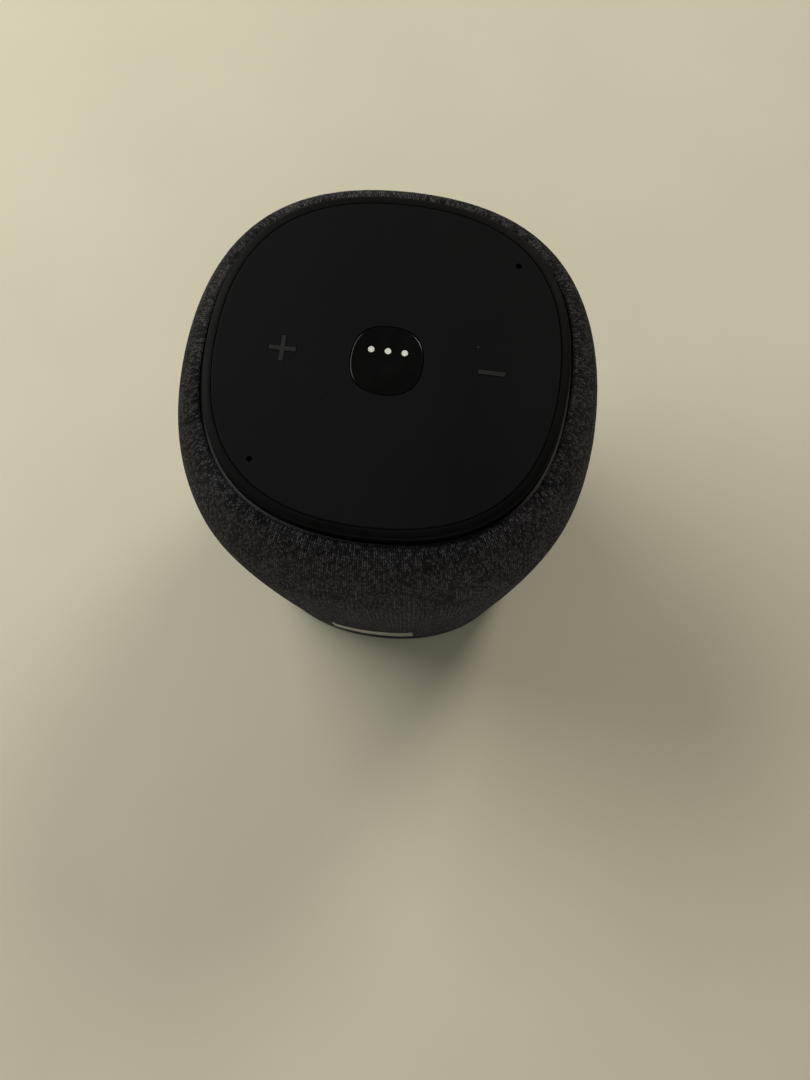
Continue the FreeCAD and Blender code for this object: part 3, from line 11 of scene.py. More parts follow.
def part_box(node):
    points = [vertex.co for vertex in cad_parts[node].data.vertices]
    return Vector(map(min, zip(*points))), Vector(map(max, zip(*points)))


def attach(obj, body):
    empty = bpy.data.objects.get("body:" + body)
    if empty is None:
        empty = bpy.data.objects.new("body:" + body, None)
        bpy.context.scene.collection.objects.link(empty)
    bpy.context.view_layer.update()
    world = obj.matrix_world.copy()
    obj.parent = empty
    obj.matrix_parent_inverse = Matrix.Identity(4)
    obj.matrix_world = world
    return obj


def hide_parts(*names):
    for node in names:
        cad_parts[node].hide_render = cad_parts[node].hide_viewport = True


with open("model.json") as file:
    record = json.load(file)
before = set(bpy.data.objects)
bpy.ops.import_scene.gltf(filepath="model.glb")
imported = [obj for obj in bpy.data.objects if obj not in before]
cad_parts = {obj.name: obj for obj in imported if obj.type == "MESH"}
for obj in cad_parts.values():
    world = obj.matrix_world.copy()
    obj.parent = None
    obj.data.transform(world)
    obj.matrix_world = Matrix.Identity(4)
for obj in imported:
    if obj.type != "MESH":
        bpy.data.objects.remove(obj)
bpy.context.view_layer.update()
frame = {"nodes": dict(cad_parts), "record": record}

MM = 0.001

# The sleeve's profile: a flank that tapers to the foot, and a dome that closes on the bezel's groove.
SLEEVE_LOW, SLEEVE_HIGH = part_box("fabric_sleeve")
WIDEST = SLEEVE_HIGH.x
WIDEST_Z = 98 * MM
FOOT_HALF = 45.3 * MM
FLANK_POWER = 1.21
RIM_HALF = 46.7 * MM
BODY_SQUARE = 0.64
RIM_SQUARE = 0.67

# The knit: columns of stitches round the body, and rows of stitches up it. Each is several columns or rows
# of the mesh, and a stitch has two legs, side by side, each LEG mesh columns wide.
WALES = 288
COURSES = 124
PER_WALE = 4
PER_COURSE = 2
LEG = PER_WALE // 2
RIB_DEPTH = 0.16 * MM
COURSE_DEPTH = 0.08 * MM

# The sleeve's edges: a small roll and a tuck at the hems, and a lip round each opening. An opening is cut
# only in its own face of the body, where y is past FACE_FROM of the widest half-width.
ROLL = 0.3 * MM
TUCK = 1.1 * MM
FOOT_CLEAR = 0.02 * MM
OPENING_LIP = 0.9 * MM
FIT_GAP = 0.15 * MM
PANEL_CORNER = 6.0 * MM
BADGE_CORNER = 1.6 * MM
FRONT = -1
BACK = 1
FACE_FROM = 0.3

# How many points each smooth line has before it is divided evenly.
QUARTER_STEPS = 65
OPENING_STEPS = 512
FLANK_STEPS = 200
DOME_STEPS = 160
ROLL_STEPS = 4

# Finishes of the plain pieces. Grain and depth, the size and height of the surface's grain, are in mm.
BRUSHED = (1, 12, 1)
FINISHES = {
    "bezel_plastic": dict(colour=(0.0018, 0.0018, 0.0019), rough=0.5, grain=0.3, depth=0.006, gloss=0.05),
    "mark_grey": dict(colour=(0.016, 0.016, 0.0165), rough=0.6, grain=0.2, depth=0.01, gloss=0.08),
    "window_lens": dict(colour=(0.62, 0.62, 0.58), rough=0.35, grain=0.4, depth=0.004, drift=0.05),
    "badge_silver": dict(colour=(0.30, 0.285, 0.25), rough=0.38, grain=0.12, depth=0.008, drift=0.12,
                         metal=0.85, stretch=(0.12, 1, 1)),
    "rear_plastic": dict(colour=(0.009, 0.009, 0.009), rough=0.52, grain=0.28, depth=0.03, gloss=0.2),
    "slider_red": dict(colour=(0.030, 0.030, 0.030), rough=0.45, grain=0.25, depth=0.015, gloss=0.3),
    "foot_rubber": dict(colour=(0.018, 0.018, 0.018), rough=0.85, grain=0.5, depth=0.05, drift=0.25,
                        gloss=0.2),
    "base_plastic": dict(colour=(0.011, 0.011, 0.011), rough=0.55, grain=0.3, depth=0.04, gloss=0.2),
    "inner_plastic": dict(colour=(0.042, 0.042, 0.045), rough=0.5, grain=0.4, depth=0.03),
    "soft_rubber": dict(colour=(0.02, 0.02, 0.02), rough=0.8, grain=0.4, depth=0.03),
    "part_black": dict(colour=(0.02, 0.02, 0.02), rough=0.45, grain=0.2, depth=0.015),
    "lead_sheath": dict(colour=(0.03, 0.03, 0.03), rough=0.5, grain=0.3, depth=0.02),
    "black_steel": dict(colour=(0.022, 0.022, 0.022), rough=0.42, grain=0.5, depth=0.03, metal=0.3),
    "steel": dict(colour=(0.50, 0.50, 0.51), rough=0.3, grain=0.3, depth=0.012, metal=1.0, stretch=BRUSHED),
    "plated_steel": dict(colour=(0.48, 0.48, 0.46), rough=0.28, grain=0.3, depth=0.01, metal=1.0,
                         stretch=BRUSHED),
    "brass_pin": dict(colour=(0.58, 0.55, 0.48), rough=0.22, grain=0.25, depth=0.006, metal=1.0),
    "heatsink": dict(colour=(0.55, 0.55, 0.57), rough=0.35, grain=0.25, depth=0.012, metal=1.0,
                     stretch=BRUSHED),
    "magnet_ferrite": dict(colour=(0.055, 0.055, 0.06), rough=0.7, grain=0.25, depth=0.05, drift=0.3),
    "ferrite_core": dict(colour=(0.07, 0.07, 0.07), rough=0.65, grain=0.25, depth=0.04, drift=0.3),
    "paper_cone": dict(colour=(0.04, 0.04, 0.04), rough=0.9, grain=0.5, depth=0.08, drift=0.3,
                       stretch=(1, 0.25, 1)),
    "capacitor_can": dict(colour=(0.06, 0.075, 0.16), rough=0.3, grain=0.4, depth=0.01),
}

# Nodes that take another slot's finish than the record gives them.
OTHER_SLOTS = {"sound_diffuser": "base_plastic", "wifi_antennas": "board_green"}

# The camera stands in front of and above the speaker, and is tipped a little to one side, in degrees.
CAMERA_AT = Vector((0.0230, -0.1240, 0.4341))
CAMERA_TARGET = Vector((0.0078, -0.0275, 0.0670))
CAMERA_ROLL = -1.467
LENS = 43.33
SENSOR = 36

# The room: a pale wall all round that darkens overhead, and a pale table that fades into the wall far off.
WALL = (0.80, 0.78, 0.69)
OVERHEAD = (0.05, 0.05, 0.05)
OVERHEAD_FROM = 0.8
FADE = (0.45, 1.6)
TABLE_DARK = (0.575, 0.545, 0.425)
TABLE_PALE = (0.60, 0.57, 0.445)
TABLE_HALF = 6.0
TABLE_DROP = 0.05 * MM
LIGHTS_AIM = Vector((0, 0, 0.05))
LIGHTS = {
    "key_light": dict(at=(0.66, 1.28, 1.34), size=0.65, power=13.5, colour=(1.0, 0.92, 0.82)),
    "side_light": dict(at=(-0.74, 0.38, 0.76), size=0.95, power=10.0, colour=(1.0, 0.99, 0.94)),
    "front_light": dict(at=(0.35, -1.30, 0.28), size=0.8, power=2.4, colour=(0.97, 0.97, 1.0)),
}


# ---- material helpers ------------------------------------------------------------------------

SOCKETS = {"colour": "Base Color", "rough": "Roughness", "metal": "Metallic", "gloss": "Specular IOR Level",
           "sheen": "Sheen Weight", "sheen_rough": "Sheen Roughness", "sheen_tint": "Sheen Tint"}
NOISE_LOW = 0.3
NOISE_HIGH = 0.7


def material(name):
    """A new material, its node tree and its shader."""
    made = bpy.data.materials.new(name)
    made.use_nodes = True
    return made, made.node_tree, made.node_tree.nodes["Principled BSDF"]


def node(tree, kind, **settings):
    made = tree.nodes.new(kind)
    for key, value in settings.items():
        setattr(made, key, value)
    return made


def feed(tree, socket, value):
    """Links a socket to value, or sets it where value is plain."""
    if isinstance(value, bpy.types.NodeSocket):
        tree.links.new(value, socket)
    else:
        socket.default_value = value


def shade(tree, shader, **looks):
    """Feeds the shader's sockets, by the short names in SOCKETS."""
    for look, value in looks.items():
        feed(tree, shader.inputs[SOCKETS[look]], value)


def maths(tree, operation, a, b=0.0):
    made = node(tree, "ShaderNodeMath", operation=operation)
    feed(tree, made.inputs[0], a)
    feed(tree, made.inputs[1], b)
    return made.outputs[0]


def weigh(tree, share, a, b):
    """Two values mixed, with that share of the first."""
    return maths(tree, "ADD", maths(tree, "MULTIPLY", a, share), maths(tree, "MULTIPLY", b, 1 - share))


def blend(tree, share, dark, light):
    """A colour between dark and light."""
    made = node(tree, "ShaderNodeMix", data_type="RGBA")
    feed(tree, made.inputs["Factor"], share)
    for socket, value in (("A", dark), ("B", light)):
        inputs = [s for s in made.inputs if s.name == socket and s.type == "RGBA"]
        feed(tree, inputs[0], value if isinstance(value, bpy.types.NodeSocket) else (*value, 1))
    return [s for s in made.outputs if s.type == "RGBA"][0]


def spread(tree, value, low, high, to_low=0.0, to_high=1.0):
    """Value stretched from one range to another, and held within it."""
    made = node(tree, "ShaderNodeMapRange")
    for socket, number in zip(made.inputs, (value, low, high, to_low, to_high)):
        feed(tree, socket, number)
    return made.outputs[0]


def between(tree, share, low, high):
    return spread(tree, share, 0, 1, low, high)


def place(tree):
    """Where each point is, in the object's own frame."""
    return node(tree, "ShaderNodeTexCoord").outputs["Object"]


def axes(tree):
    """Each point's x, y and z."""
    split = node(tree, "ShaderNodeSeparateXYZ")
    feed(tree, split.inputs[0], place(tree))
    return split.outputs


def wave(tree, value, pitch):
    """A sine, from -1 to 1, that repeats every pitch."""
    return maths(tree, "SINE", maths(tree, "MULTIPLY", value, 2 * math.pi / pitch))


def noise(tree, size, detail=3.0, stretch=(1, 1, 1), rough=0.5):
    """Noise with features about size across."""
    mapping = node(tree, "ShaderNodeMapping")
    mapping.inputs["Scale"].default_value = [s / size for s in stretch]
    feed(tree, mapping.inputs["Vector"], place(tree))
    made = node(tree, "ShaderNodeTexNoise")
    made.inputs["Scale"].default_value = 1.0
    made.inputs["Detail"].default_value = detail
    made.inputs["Roughness"].default_value = rough
    feed(tree, made.inputs["Vector"], mapping.outputs["Vector"])
    return made.outputs[0]


def clouds(tree, size, low=NOISE_LOW, high=NOISE_HIGH, **settings):
    """Noise whose usual values, low to high, are stretched to fill 0 to 1."""
    return spread(tree, noise(tree, size, **settings), low, high)


def bump(tree, shader, height, depth):
    made = node(tree, "ShaderNodeBump")
    made.inputs["Distance"].default_value = depth
    feed(tree, made.inputs["Height"], height)
    feed(tree, shader.inputs["Normal"], made.outputs["Normal"])


def tinted(colour, share):
    return [c * share for c in colour]


# ---- finishes --------------------------------------------------------------------------------

# Every grained finish drifts slowly, over this distance, by this share of its colour's mix and its roughness.
DRIFT_SIZE = 14 * MM
DRIFT_SHARE = 0.6
ROUGH_DRIFT = 0.06


def grained(name, colour, rough, grain, depth, drift=0.15, metal=0.0, gloss=0.5, stretch=(1, 1, 1)):
    """Moulded, cast or brushed stuff: a fine grain, with a slow drift of colour and roughness."""
    made, tree, shader = material(name)
    slow = clouds(tree, DRIFT_SIZE, detail=4)
    fine = noise(tree, grain * MM, 4, stretch, 0.6)
    share = weigh(tree, DRIFT_SHARE, slow, fine)
    shade(tree, shader, metal=metal, gloss=gloss,
          colour=blend(tree, share, tinted(colour, 1 - drift), tinted(colour, 1 + drift)),
          rough=between(tree, slow, rough - ROUGH_DRIFT, rough + ROUGH_DRIFT))
    bump(tree, shader, fine, depth * MM)
    return made


# The yarn: most legs are dark and a few pale, and the dye varies a little from patch to patch.
YARN_DARK = (0.0045, 0.0045, 0.0058)
YARN_PALE = (0.088, 0.085, 0.090)
DYE_POWER = 1.8
DYE_SHARE = 0.8
PATCH_SIZE = 9 * MM
YARN_DEPTH = 0.3 * MM
FUZZ_SIZE = 0.16 * MM
FUZZ = 0.35

# Painted shade: between the legs the colour is darkened, up to this much of their height.
CREVICE_SHADE = (0.0015, 0.0015, 0.0017)
CREVICE_SHADE_EDGE = (0.15, 0.8)

# The shape of a stitch's leg as the knit draws it, in columns and rows of stitches.
LEG_MIDDLE = 0.25
LEG_CLIMB = 1.3
LEG_END = 2.4
LEG_SOFT = 0.6


def bulge(tree, value, middle, power):
    """1 where value is middle, falling to 0 at 0 and at twice middle."""
    away = maths(tree, "MULTIPLY", maths(tree, "SUBTRACT", value, middle), 1 / middle)
    fall = maths(tree, "POWER", maths(tree, "ABSOLUTE", away), power)
    return maths(tree, "SUBTRACT", 1.0, fall)


def stitch_legs(tree):
    """How high the yarn stands, and three numbers that tell each leg from the others."""
    uv = node(tree, "ShaderNodeUVMap", uv_map="stitches")
    split = node(tree, "ShaderNodeSeparateXYZ")
    feed(tree, split.inputs[0], uv.outputs["UV"])
    u, v = split.outputs[0], split.outputs[1]
    column = maths(tree, "FLOOR", maths(tree, "ADD", u, 0.5))
    across = maths(tree, "SUBTRACT", u, column)
    side = maths(tree, "ABSOLUTE", across)
    climb = maths(tree, "SUBTRACT", v, maths(tree, "MULTIPLY", side, LEG_CLIMB))
    row = maths(tree, "FLOOR", climb)
    along = maths(tree, "SUBTRACT", climb, row)
    round_leg = bulge(tree, side, LEG_MIDDLE, 2.0)
    taper = bulge(tree, along, 0.5, LEG_END)
    legs = [maths(tree, "POWER", shape, LEG_SOFT) for shape in (round_leg, taper)]
    return maths(tree, "MULTIPLY", *legs), (column, row, maths(tree, "SIGN", across))


def knit(name):
    """Charcoal heathered jersey. The sleeve's UVs count stitches: u the columns, v the rows."""
    made, tree, shader = material(name)
    stitch, leg = stitch_legs(tree)
    cell = node(tree, "ShaderNodeCombineXYZ")
    for socket, value in zip(cell.inputs, leg):
        feed(tree, socket, value)
    dye = node(tree, "ShaderNodeTexWhiteNoise", noise_dimensions="3D")
    feed(tree, dye.inputs["Vector"], cell.outputs[0])
    speckle = maths(tree, "POWER", dye.outputs["Value"], DYE_POWER)
    heather = weigh(tree, DYE_SHARE, speckle, clouds(tree, PATCH_SIZE))
    yarn = blend(tree, heather, YARN_DARK, YARN_PALE)
    # Between the legs the yarn colour is darkened into painted shade in the crevices.
    shade(tree, shader, colour=blend(tree, spread(tree, stitch, *CREVICE_SHADE_EDGE), CREVICE_SHADE, yarn), rough=0.92,
          gloss=0.06, sheen=0.035, sheen_rough=0.45, sheen_tint=(0.75, 0.72, 0.68, 1))
    fuzz = noise(tree, FUZZ_SIZE, rough=0.7)
    bump(tree, shader, maths(tree, "ADD", stitch, maths(tree, "MULTIPLY", fuzz, FUZZ)), YARN_DEPTH)
    return made


# The control panel. A speck of dust is soft at its edge, which is a share of the spacing from its middle.
PANEL_DARK = (0.0021, 0.0024, 0.0028)
PANEL_PALE = (0.0029, 0.0032, 0.0036)
WIPE_SIZE = 30 * MM
DUST = (0.03, 0.03, 0.028)
SPECK_SPACING = 11 * MM
SPECK_EDGE = (0.016, 0.026)


def soft_touch(name):
    """The control panel's matte skin: very fine grain, faint wiping marks and a few specks of dust."""
    made, tree, shader = material(name)
    wiped = clouds(tree, WIPE_SIZE, 0.35, 0.65, stretch=(1, 0.4, 1))
    specks = node(tree, "ShaderNodeTexVoronoi")
    specks.inputs["Scale"].default_value = 1 / SPECK_SPACING
    feed(tree, specks.inputs["Vector"], place(tree))
    dust = spread(tree, specks.outputs["Distance"], *SPECK_EDGE, 1.0, 0.0)
    base = blend(tree, wiped, PANEL_DARK, PANEL_PALE)
    shade(tree, shader, colour=blend(tree, dust, base, DUST), rough=between(tree, wiped, 0.5, 0.6),
          gloss=0.06)
    bump(tree, shader, noise(tree, 0.12 * MM), 0.012 * MM)
    return made


# The centre key.
KEY_DARK = (0.0022, 0.0022, 0.0022)
KEY_PALE = (0.0032, 0.0032, 0.0032)
SMEAR_SIZE = 5 * MM


def gloss_key(name):
    """Polished black, with faint finger marks that change its roughness and barely its colour."""
    made, tree, shader = material(name)
    smear = clouds(tree, SMEAR_SIZE, 0.35, detail=5, stretch=(1, 0.5, 1), rough=0.6)
    shade(tree, shader, colour=blend(tree, smear, KEY_DARK, KEY_PALE), rough=between(tree, smear, 0.08, 0.2),
          gloss=0.25)
    bump(tree, shader, noise(tree, 3 * MM, 2), 0.01 * MM)
    return made


# Circuit boards: a solder mask, paler over the copper tracks.
MASK_DARK = (0.014, 0.09, 0.036)
MASK_PALE = (0.026, 0.15, 0.062)
TRACK = (0.05, 0.24, 0.09)
TRACK_SPACING = 9 * MM
TRACK_DEPTH = 0.035 * MM


def circuit_board(name):
    """Green solder mask over raised copper tracks."""
    made, tree, shader = material(name)
    bricks = node(tree, "ShaderNodeTexBrick")
    bricks.inputs["Scale"].default_value = 1 / TRACK_SPACING
    bricks.inputs["Mortar Size"].default_value = 0.035
    bricks.inputs["Mortar Smooth"].default_value = 0.3
    feed(tree, bricks.inputs["Vector"], place(tree))
    track = bricks.outputs["Fac"]
    mask = blend(tree, noise(tree, 6 * MM, 4), MASK_DARK, MASK_PALE)
    shade(tree, shader, colour=blend(tree, track, mask, TRACK), rough=between(tree, track, 0.38, 0.28))
    bump(tree, shader, track, TRACK_DEPTH)
    return made


# The driver's coil of wire, and the cloth of its centring ring.
COPPER = (0.70, 0.33, 0.14)
WIRE_PITCH = 0.25 * MM
CLOTH_DARK = (0.28, 0.19, 0.08)
CLOTH_PALE = (0.52, 0.38, 0.17)
THREAD_PITCH = 0.7 * MM


def copper_winding(name):
    """Turns of wire, stacked up the axis, with painted shade in the grooves between them."""
    made, tree, shader = material(name)
    turns = spread(tree, wave(tree, axes(tree)[2], WIRE_PITCH), -1, 1)
    rough = spread(tree, noise(tree, 2 * MM), NOISE_LOW, NOISE_HIGH, 0.25, 0.4)
    # The colour darkens where the wire's height is lowest: painted shade between the turns.
    shade(tree, shader, colour=blend(tree, turns, tinted(COPPER, 0.45), COPPER), rough=rough, metal=1.0)
    bump(tree, shader, turns, WIRE_PITCH / 3)
    return made


def ring_cloth(name):
    """The centring ring's treated cloth: threads over and under, with painted shade where a thread dips
    under.
    """
    made, tree, shader = material(name)
    threads = [wave(tree, way, THREAD_PITCH) for way in axes(tree)[:2]]
    over = spread(tree, maths(tree, "MULTIPLY", *threads), -1, 1)
    # The colour darkens where the threads sit low: painted shade in the weave's hollows.
    shade(tree, shader, colour=blend(tree, over, CLOTH_DARK, CLOTH_PALE), rough=0.75)
    bump(tree, shader, over, 0.12 * MM)
    return made


SPECIAL_FINISHES = {
    "knit_fabric": knit,
    "panel_plastic": soft_touch,
    "button_gloss": gloss_key,
    "coil_copper": copper_winding,
    "spider_cloth": ring_cloth,
    "board_green": circuit_board,
}


def slot_materials():
    """One material for each of the record's slots."""
    made = {slot: finish(slot) for slot, finish in SPECIAL_FINISHES.items()}
    made.update({slot: grained(slot, **looks) for slot, looks in FINISHES.items()})
    return made


def finish_nodes(finishes):
    """Gives each CAD node that shows its slot's material."""
    for subpart in frame["record"]["subparts"]:
        name = subpart["node"]
        slot = OTHER_SLOTS.get(name, subpart["material_slot"])
        if name != "fabric_sleeve":
            body = frame["nodes"][name]
            body.data.materials.clear()
            body.data.materials.append(finishes[slot])


# ---- the knit sleeve -------------------------------------------------------------------------

def quarter(square, count):
    """Count points, evenly spaced, on a quarter of a rounded square of half-width 1, from (1, 0)."""
    t = np.linspace(0, 1, QUARTER_STEPS)
    a, b, c, d = (1 - t) ** 3, 3 * (1 - t) ** 2 * t, 3 * (1 - t) * t**2, t**3
    x, y = a + b + square * c, square * b + c + d
    run = np.append(0, np.cumsum(np.hypot(np.diff(x), np.diff(y))))
    share = np.arange(count) / count * run[-1]
    return np.interp(share, run, x), np.interp(share, run, y)


def outline(half, square, count):
    """Points round the whole rounded square, four equal quarters."""
    x, y = quarter(square, count // 4)
    rows = [(x, y), (-y, x), (-x, -y), (y, -x)]
    return half * np.concatenate([np.stack(r, -1) for r in rows])


def flank_half(z):
    """The half-width of the flank at a height."""
    share = np.clip((WIDEST_Z - z) / (WIDEST_Z - SLEEVE_LOW.z), 0, 1)
    return WIDEST - (WIDEST - FOOT_HALF) * share**FLANK_POWER


def flank_and_dome():
    """Half-width, height and squareness from the foot to the rim, evenly spaced along the flank and dome."""
    z = np.linspace(SLEEVE_LOW.z + ROLL, WIDEST_Z, FLANK_STEPS)
    a = np.linspace(0, math.pi / 2, DOME_STEPS)[1:]
    half = np.append(flank_half(z), RIM_HALF + (WIDEST - RIM_HALF) * np.cos(a))
    height = np.append(z, WIDEST_Z + (SLEEVE_HIGH.z - WIDEST_Z) * np.sin(a))
    dome_square = BODY_SQUARE + (RIM_SQUARE - BODY_SQUARE) * np.sin(a) ** 2
    square = np.append(np.full(FLANK_STEPS, BODY_SQUARE), dome_square)
    run = np.append(0, np.cumsum(np.hypot(np.diff(half), np.diff(height))))
    even = np.linspace(0, run[-1], PER_COURSE * COURSES + 1)
    return np.stack([np.interp(even, run, v) for v in (half, height, square)], -1)


def profile():
    """Half-width, height and squareness up the sleeve, from the tucked foot hem to the tucked rim."""
    body = flank_and_dome()
    foot_half = body[0, 0] - ROLL
    rim = SLEEVE_HIGH.z - ROLL
    turn = np.linspace(0, math.pi / 2, ROLL_STEPS + 1)[1:]
    foot = [(foot_half + ROLL * math.cos(t), SLEEVE_LOW.z + ROLL * (1 - math.sin(t)), BODY_SQUARE)
            for t in turn]
    foot.append((foot_half - TUCK, SLEEVE_LOW.z + FOOT_CLEAR, BODY_SQUARE))
    top = [(RIM_HALF - ROLL * math.sin(t), rim + ROLL * math.cos(t), RIM_SQUARE) for t in turn]
    top.append((RIM_HALF - ROLL, rim - TUCK, RIM_SQUARE))
    return np.array(foot[::-1] + list(map(tuple, body)) + top)


def stitch_relief(points):
    """Sinks the lines between the legs of the stitches, and the ends of each leg, along the normals."""
    round_it = np.roll(points, -1, 1) - np.roll(points, 1, 1)
    up_it = np.gradient(points, axis=0)
    normal = np.cross(round_it, up_it)
    normal /= np.linalg.norm(normal, axis=-1, keepdims=True)
    row, column = np.indices(points.shape[:2])
    between_legs = column % LEG == 0
    leg_end = (row + column // LEG) % PER_COURSE == 0
    sink = RIB_DEPTH * between_legs + COURSE_DEPTH * leg_end
    return points - normal * sink[..., None]


def sleeve_points(levels):
    """The stitched surface: a row of points round the body at each level."""
    columns = PER_WALE * WALES
    points = np.empty((len(levels), columns, 3))
    for row, (half, z, square) in enumerate(levels):
        points[row, :, :2] = outline(half, square, columns)
        points[row, :, 2] = z
    return stitch_relief(points)


def node_window(name, corner):
    """The opening that a node fills: its box and corner radius, with a fit clearance."""
    low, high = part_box(name)
    return (low.x - FIT_GAP, low.z - FIT_GAP), (high.x + FIT_GAP, high.z + FIT_GAP), corner + FIT_GAP


def window_distance(x, z, window):
    """Distance to a rounded window's edge, negative inside it, and the way out."""
    low, high, corner = window
    middle, reach = (low[1] + high[1]) / 2, (high[1] - low[1]) / 2
    qx = abs(x) - (high[0] - corner)
    qz = abs(z - middle) - (reach - corner)
    ox, oz = np.maximum(qx, 0), np.maximum(qz, 0)
    away = np.hypot(ox, oz)
    distance = away + np.minimum(np.maximum(qx, qz), 0) - corner
    cornered = (ox > 0) & (oz > 0)
    safe = np.where(away > 0, away, 1)
    gx = np.where(cornered, ox / safe, (qx > qz) * 1.0) * np.sign(x)
    gz = np.where(cornered, oz / safe, (qx <= qz) * 1.0) * np.sign(z - middle)
    return distance, gx, gz


def cut_window(points, kept, side, window):
    """Drops the faces inside a window, and brings the corners that reach into it out to its edge."""
    x, y, z = points[..., 0], points[..., 1], points[..., 2]
    distance, gx, gz = window_distance(x, z, window)
    inside = (distance < 0) & (side * y > FACE_FROM * WIDEST)
    next_column = np.roll(inside, -1, 1)
    kept &= ~(inside & next_column & np.roll(inside, -1, 0) & np.roll(next_column, -1, 0))[:-1]
    to_x, to_z = (x - distance * gx)[inside], (z - distance * gz)[inside]
    ux, uy = quarter(BODY_SQUARE, OPENING_STEPS)
    half = flank_half(to_z)
    to_y = side * half * np.interp(abs(to_x) / half, ux[::-1], uy[::-1])
    points[inside] = np.stack([to_x, to_y, to_z], -1)


def lip_faces(faces, coords, columns):
    """Quads that fold the sleeve's cut edges inwards, with the vertices they add."""
    edges = np.concatenate([faces[:, [i, (i + 1) % 4]] for i in range(4)])
    low, high = edges.min(1), edges.max(1)
    _, first, uses = np.unique(low * len(coords) + high, return_index=True, return_counts=True)
    open_edges = edges[first[uses == 1]]
    last_row = len(coords) - columns
    hem = (open_edges < columns).all(1) | (open_edges >= last_row).all(1)
    open_edges = open_edges[~hem]
    outer = np.unique(open_edges)
    inner = coords[outer] - [0, OPENING_LIP, 0] * np.sign(coords[outer][:, 1:2])
    place_of = len(coords) + np.searchsorted(outer, open_edges)
    return np.stack([open_edges[:, 1], open_edges[:, 0], place_of[:, 0], place_of[:, 1]], -1), inner


def stitch_rows(levels):
    """How many rows of stitches lie below each level, by its distance up the sleeve."""
    steps = np.hypot(np.diff(levels[:, 0]), np.diff(levels[:, 1]))
    usual = np.median(steps) * PER_COURSE
    return np.append(0, np.cumsum(steps)) / usual


def stitch_uv(row, column, levels):
    """Each face's corners, in columns and rows of stitches."""
    climb = stitch_rows(levels)
    corners = ((0, 0), (1, 0), (1, 1), (0, 1))
    return np.stack([np.stack([(column + a) / PER_WALE, climb[row + b]], -1) for a, b in corners], 1)


def drop_loose(mesh):
    """Deletes vertices that no face uses."""
    work = bmesh.new()
    work.from_mesh(mesh)
    loose = [v for v in work.verts if not v.link_faces]
    bmesh.ops.delete(work, geom=loose, context="VERTS")
    work.to_mesh(mesh)
    work.free()


def sleeve_mesh(coords, faces, uv, finish):
    """A smooth mesh with its UVs and its finish."""
    mesh = bpy.data.meshes.new("knit_sleeve")
    mesh.from_pydata(coords.tolist(), [], faces.tolist())
    layer = mesh.uv_layers.new(name="stitches")
    layer.data.foreach_set("uv", uv.astype(np.float32).ravel())
    mesh.polygons.foreach_set("use_smooth", [True] * len(faces))
    mesh.update()
    drop_loose(mesh)
    mesh.materials.append(finish)
    return mesh


def knit_sleeve(finish):
    """The knit cover: one sheet, stretched over the grille shell and tucked in at every edge."""
    levels = profile()
    points = sleeve_points(levels)
    columns = points.shape[1]
    kept = np.ones((len(levels) - 1, columns), bool)
    cut_window(points, kept, BACK, node_window("rear_panel", PANEL_CORNER))
    cut_window(points, kept, FRONT, node_window("front_badge", BADGE_CORNER))
    row, column = np.nonzero(kept)
    right = (column + 1) % columns
    faces = np.stack([row * columns + column, row * columns + right,
                      (row + 1) * columns + right, (row + 1) * columns + column], -1)
    coords = points.reshape(-1, 3)
    lips, inner = lip_faces(faces, coords, columns)
    uv = np.concatenate([stitch_uv(row, column, levels), np.zeros((len(lips), 4, 2))])
    mesh = sleeve_mesh(np.vstack([coords, inner]), np.concatenate([faces, lips]), uv, finish)
    sleeve = bpy.data.objects.new("knit_sleeve", mesh)
    bpy.context.scene.collection.objects.link(sleeve)
    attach(sleeve, "housing")
    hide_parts("fabric_sleeve")


# ---- floor, light and camera -----------------------------------------------------------------

def fade_out(tree, shader):
    """Far from the speaker the table turns into the room's pale wall, for whatever sees it directly, in a
    reflection or through glass. It still catches light and shadow as a table."""
    away = node(tree, "ShaderNodeVectorMath", operation="LENGTH")
    feed(tree, away.inputs[0], place(tree))
    far = spread(tree, away.outputs["Value"], *FADE)
    ray = node(tree, "ShaderNodeLightPath").outputs
    seen = maths(tree, "ADD", ray["Is Camera Ray"], ray["Is Glossy Ray"])
    seen = maths(tree, "MINIMUM", maths(tree, "ADD", seen, ray["Is Transmission Ray"]), 1.0)
    wall = node(tree, "ShaderNodeEmission")
    wall.inputs["Color"].default_value = (*WALL, 1)
    mix = node(tree, "ShaderNodeMixShader")
    layers = (maths(tree, "MULTIPLY", far, seen), shader.outputs[0], wall.outputs[0])
    for socket, value in zip(mix.inputs, layers):
        feed(tree, socket, value)
    output = next(n for n in tree.nodes if n.type == "OUTPUT_MATERIAL")
    feed(tree, output.inputs["Surface"], mix.outputs[0])


def laminate(name):
    """Pale matt laminate, faintly mottled."""
    made, tree, shader = material(name)
    mottle = clouds(tree, 60 * MM, detail=5)
    shade(tree, shader, colour=blend(tree, mottle, TABLE_DARK, TABLE_PALE), rough=0.6, gloss=0.3)
    bump(tree, shader, noise(tree, 0.6 * MM), 0.02 * MM)
    fade_out(tree, shader)
    return made


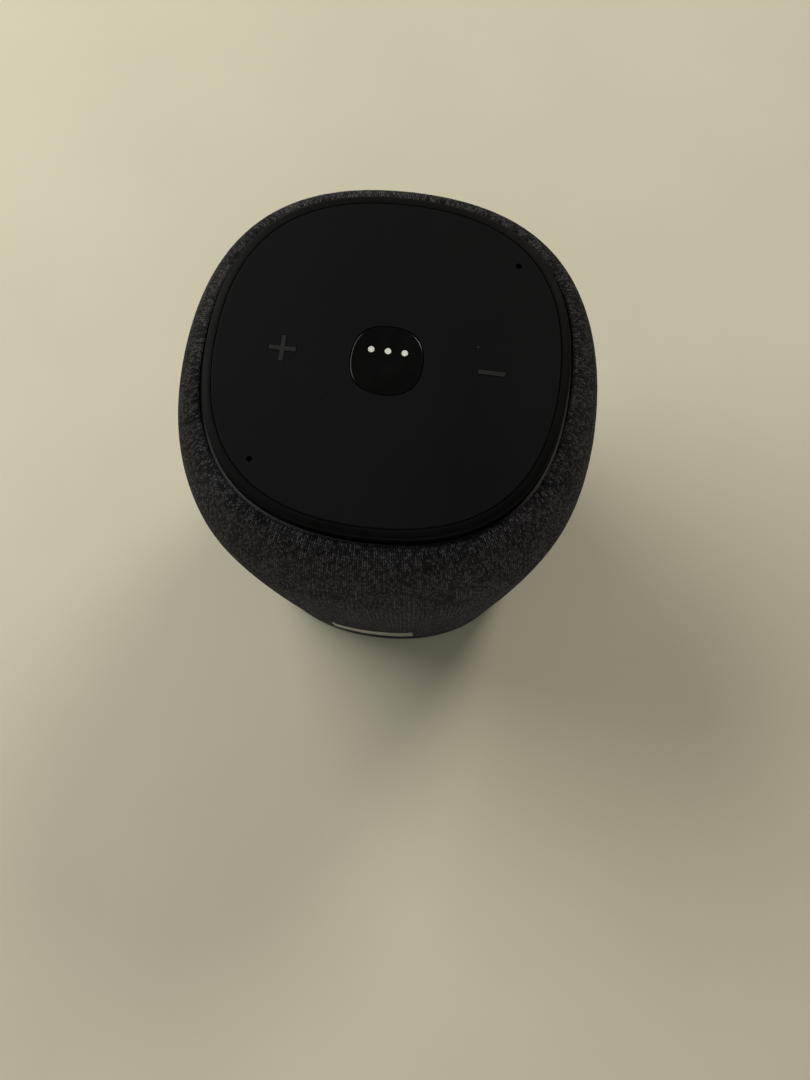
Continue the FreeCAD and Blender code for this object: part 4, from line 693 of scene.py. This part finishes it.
def table_top():
    """The table that the speaker stands on: part of the stage."""
    corners = [(-1, -1), (1, -1), (1, 1), (-1, 1)]
    mesh = bpy.data.meshes.new("table_top")
    mesh.from_pydata([(TABLE_HALF * x, TABLE_HALF * y, 0) for x, y in corners], [], [(0, 1, 2, 3)])
    mesh.materials.append(laminate("table_laminate"))
    table = bpy.data.objects.new("table_top", mesh)
    table.location.z = -TABLE_DROP
    bpy.context.scene.collection.objects.link(table)


def softbox(name, at, size, power, colour):
    """A round soft light that faces the speaker."""
    lamp = bpy.data.lights.new(name, "AREA")
    lamp.shape = "DISK"
    lamp.size = size
    lamp.energy = power
    lamp.color = colour
    made = bpy.data.objects.new(name, lamp)
    made.location = at
    made.rotation_euler = (LIGHTS_AIM - Vector(at)).to_track_quat("-Z", "Y").to_euler()
    bpy.context.scene.collection.objects.link(made)


def room():
    """A room that is pale at the walls and dim overhead."""
    world = bpy.data.worlds.new("room")
    world.use_nodes = True
    bpy.context.scene.world = world
    tree = world.node_tree
    split = node(tree, "ShaderNodeSeparateXYZ")
    feed(tree, split.inputs[0], node(tree, "ShaderNodeTexCoord").outputs["Generated"])
    height = spread(tree, split.outputs[2], 0.0, OVERHEAD_FROM)
    feed(tree, tree.nodes["Background"].inputs["Color"], blend(tree, height, WALL, OVERHEAD))


def camera():
    view = bpy.data.cameras.new("camera")
    view.lens = LENS
    view.sensor_width = SENSOR
    made = bpy.data.objects.new("camera", view)
    turn = (CAMERA_TARGET - CAMERA_AT).to_track_quat("-Z", "Y").to_matrix()
    roll = Matrix.Rotation(math.radians(CAMERA_ROLL), 3, "Z")
    made.matrix_world = Matrix.Translation(CAMERA_AT) @ (turn @ roll).to_4x4()
    bpy.context.scene.collection.objects.link(made)
    bpy.context.scene.camera = made


finishes = slot_materials()
finish_nodes(finishes)
knit_sleeve(finishes["knit_fabric"])
table_top()
room()
for name, settings in LIGHTS.items():
    softbox(name, **settings)
camera()
bpy.context.scene.view_settings.view_transform = "Standard"
bpy.context.view_layer.update()
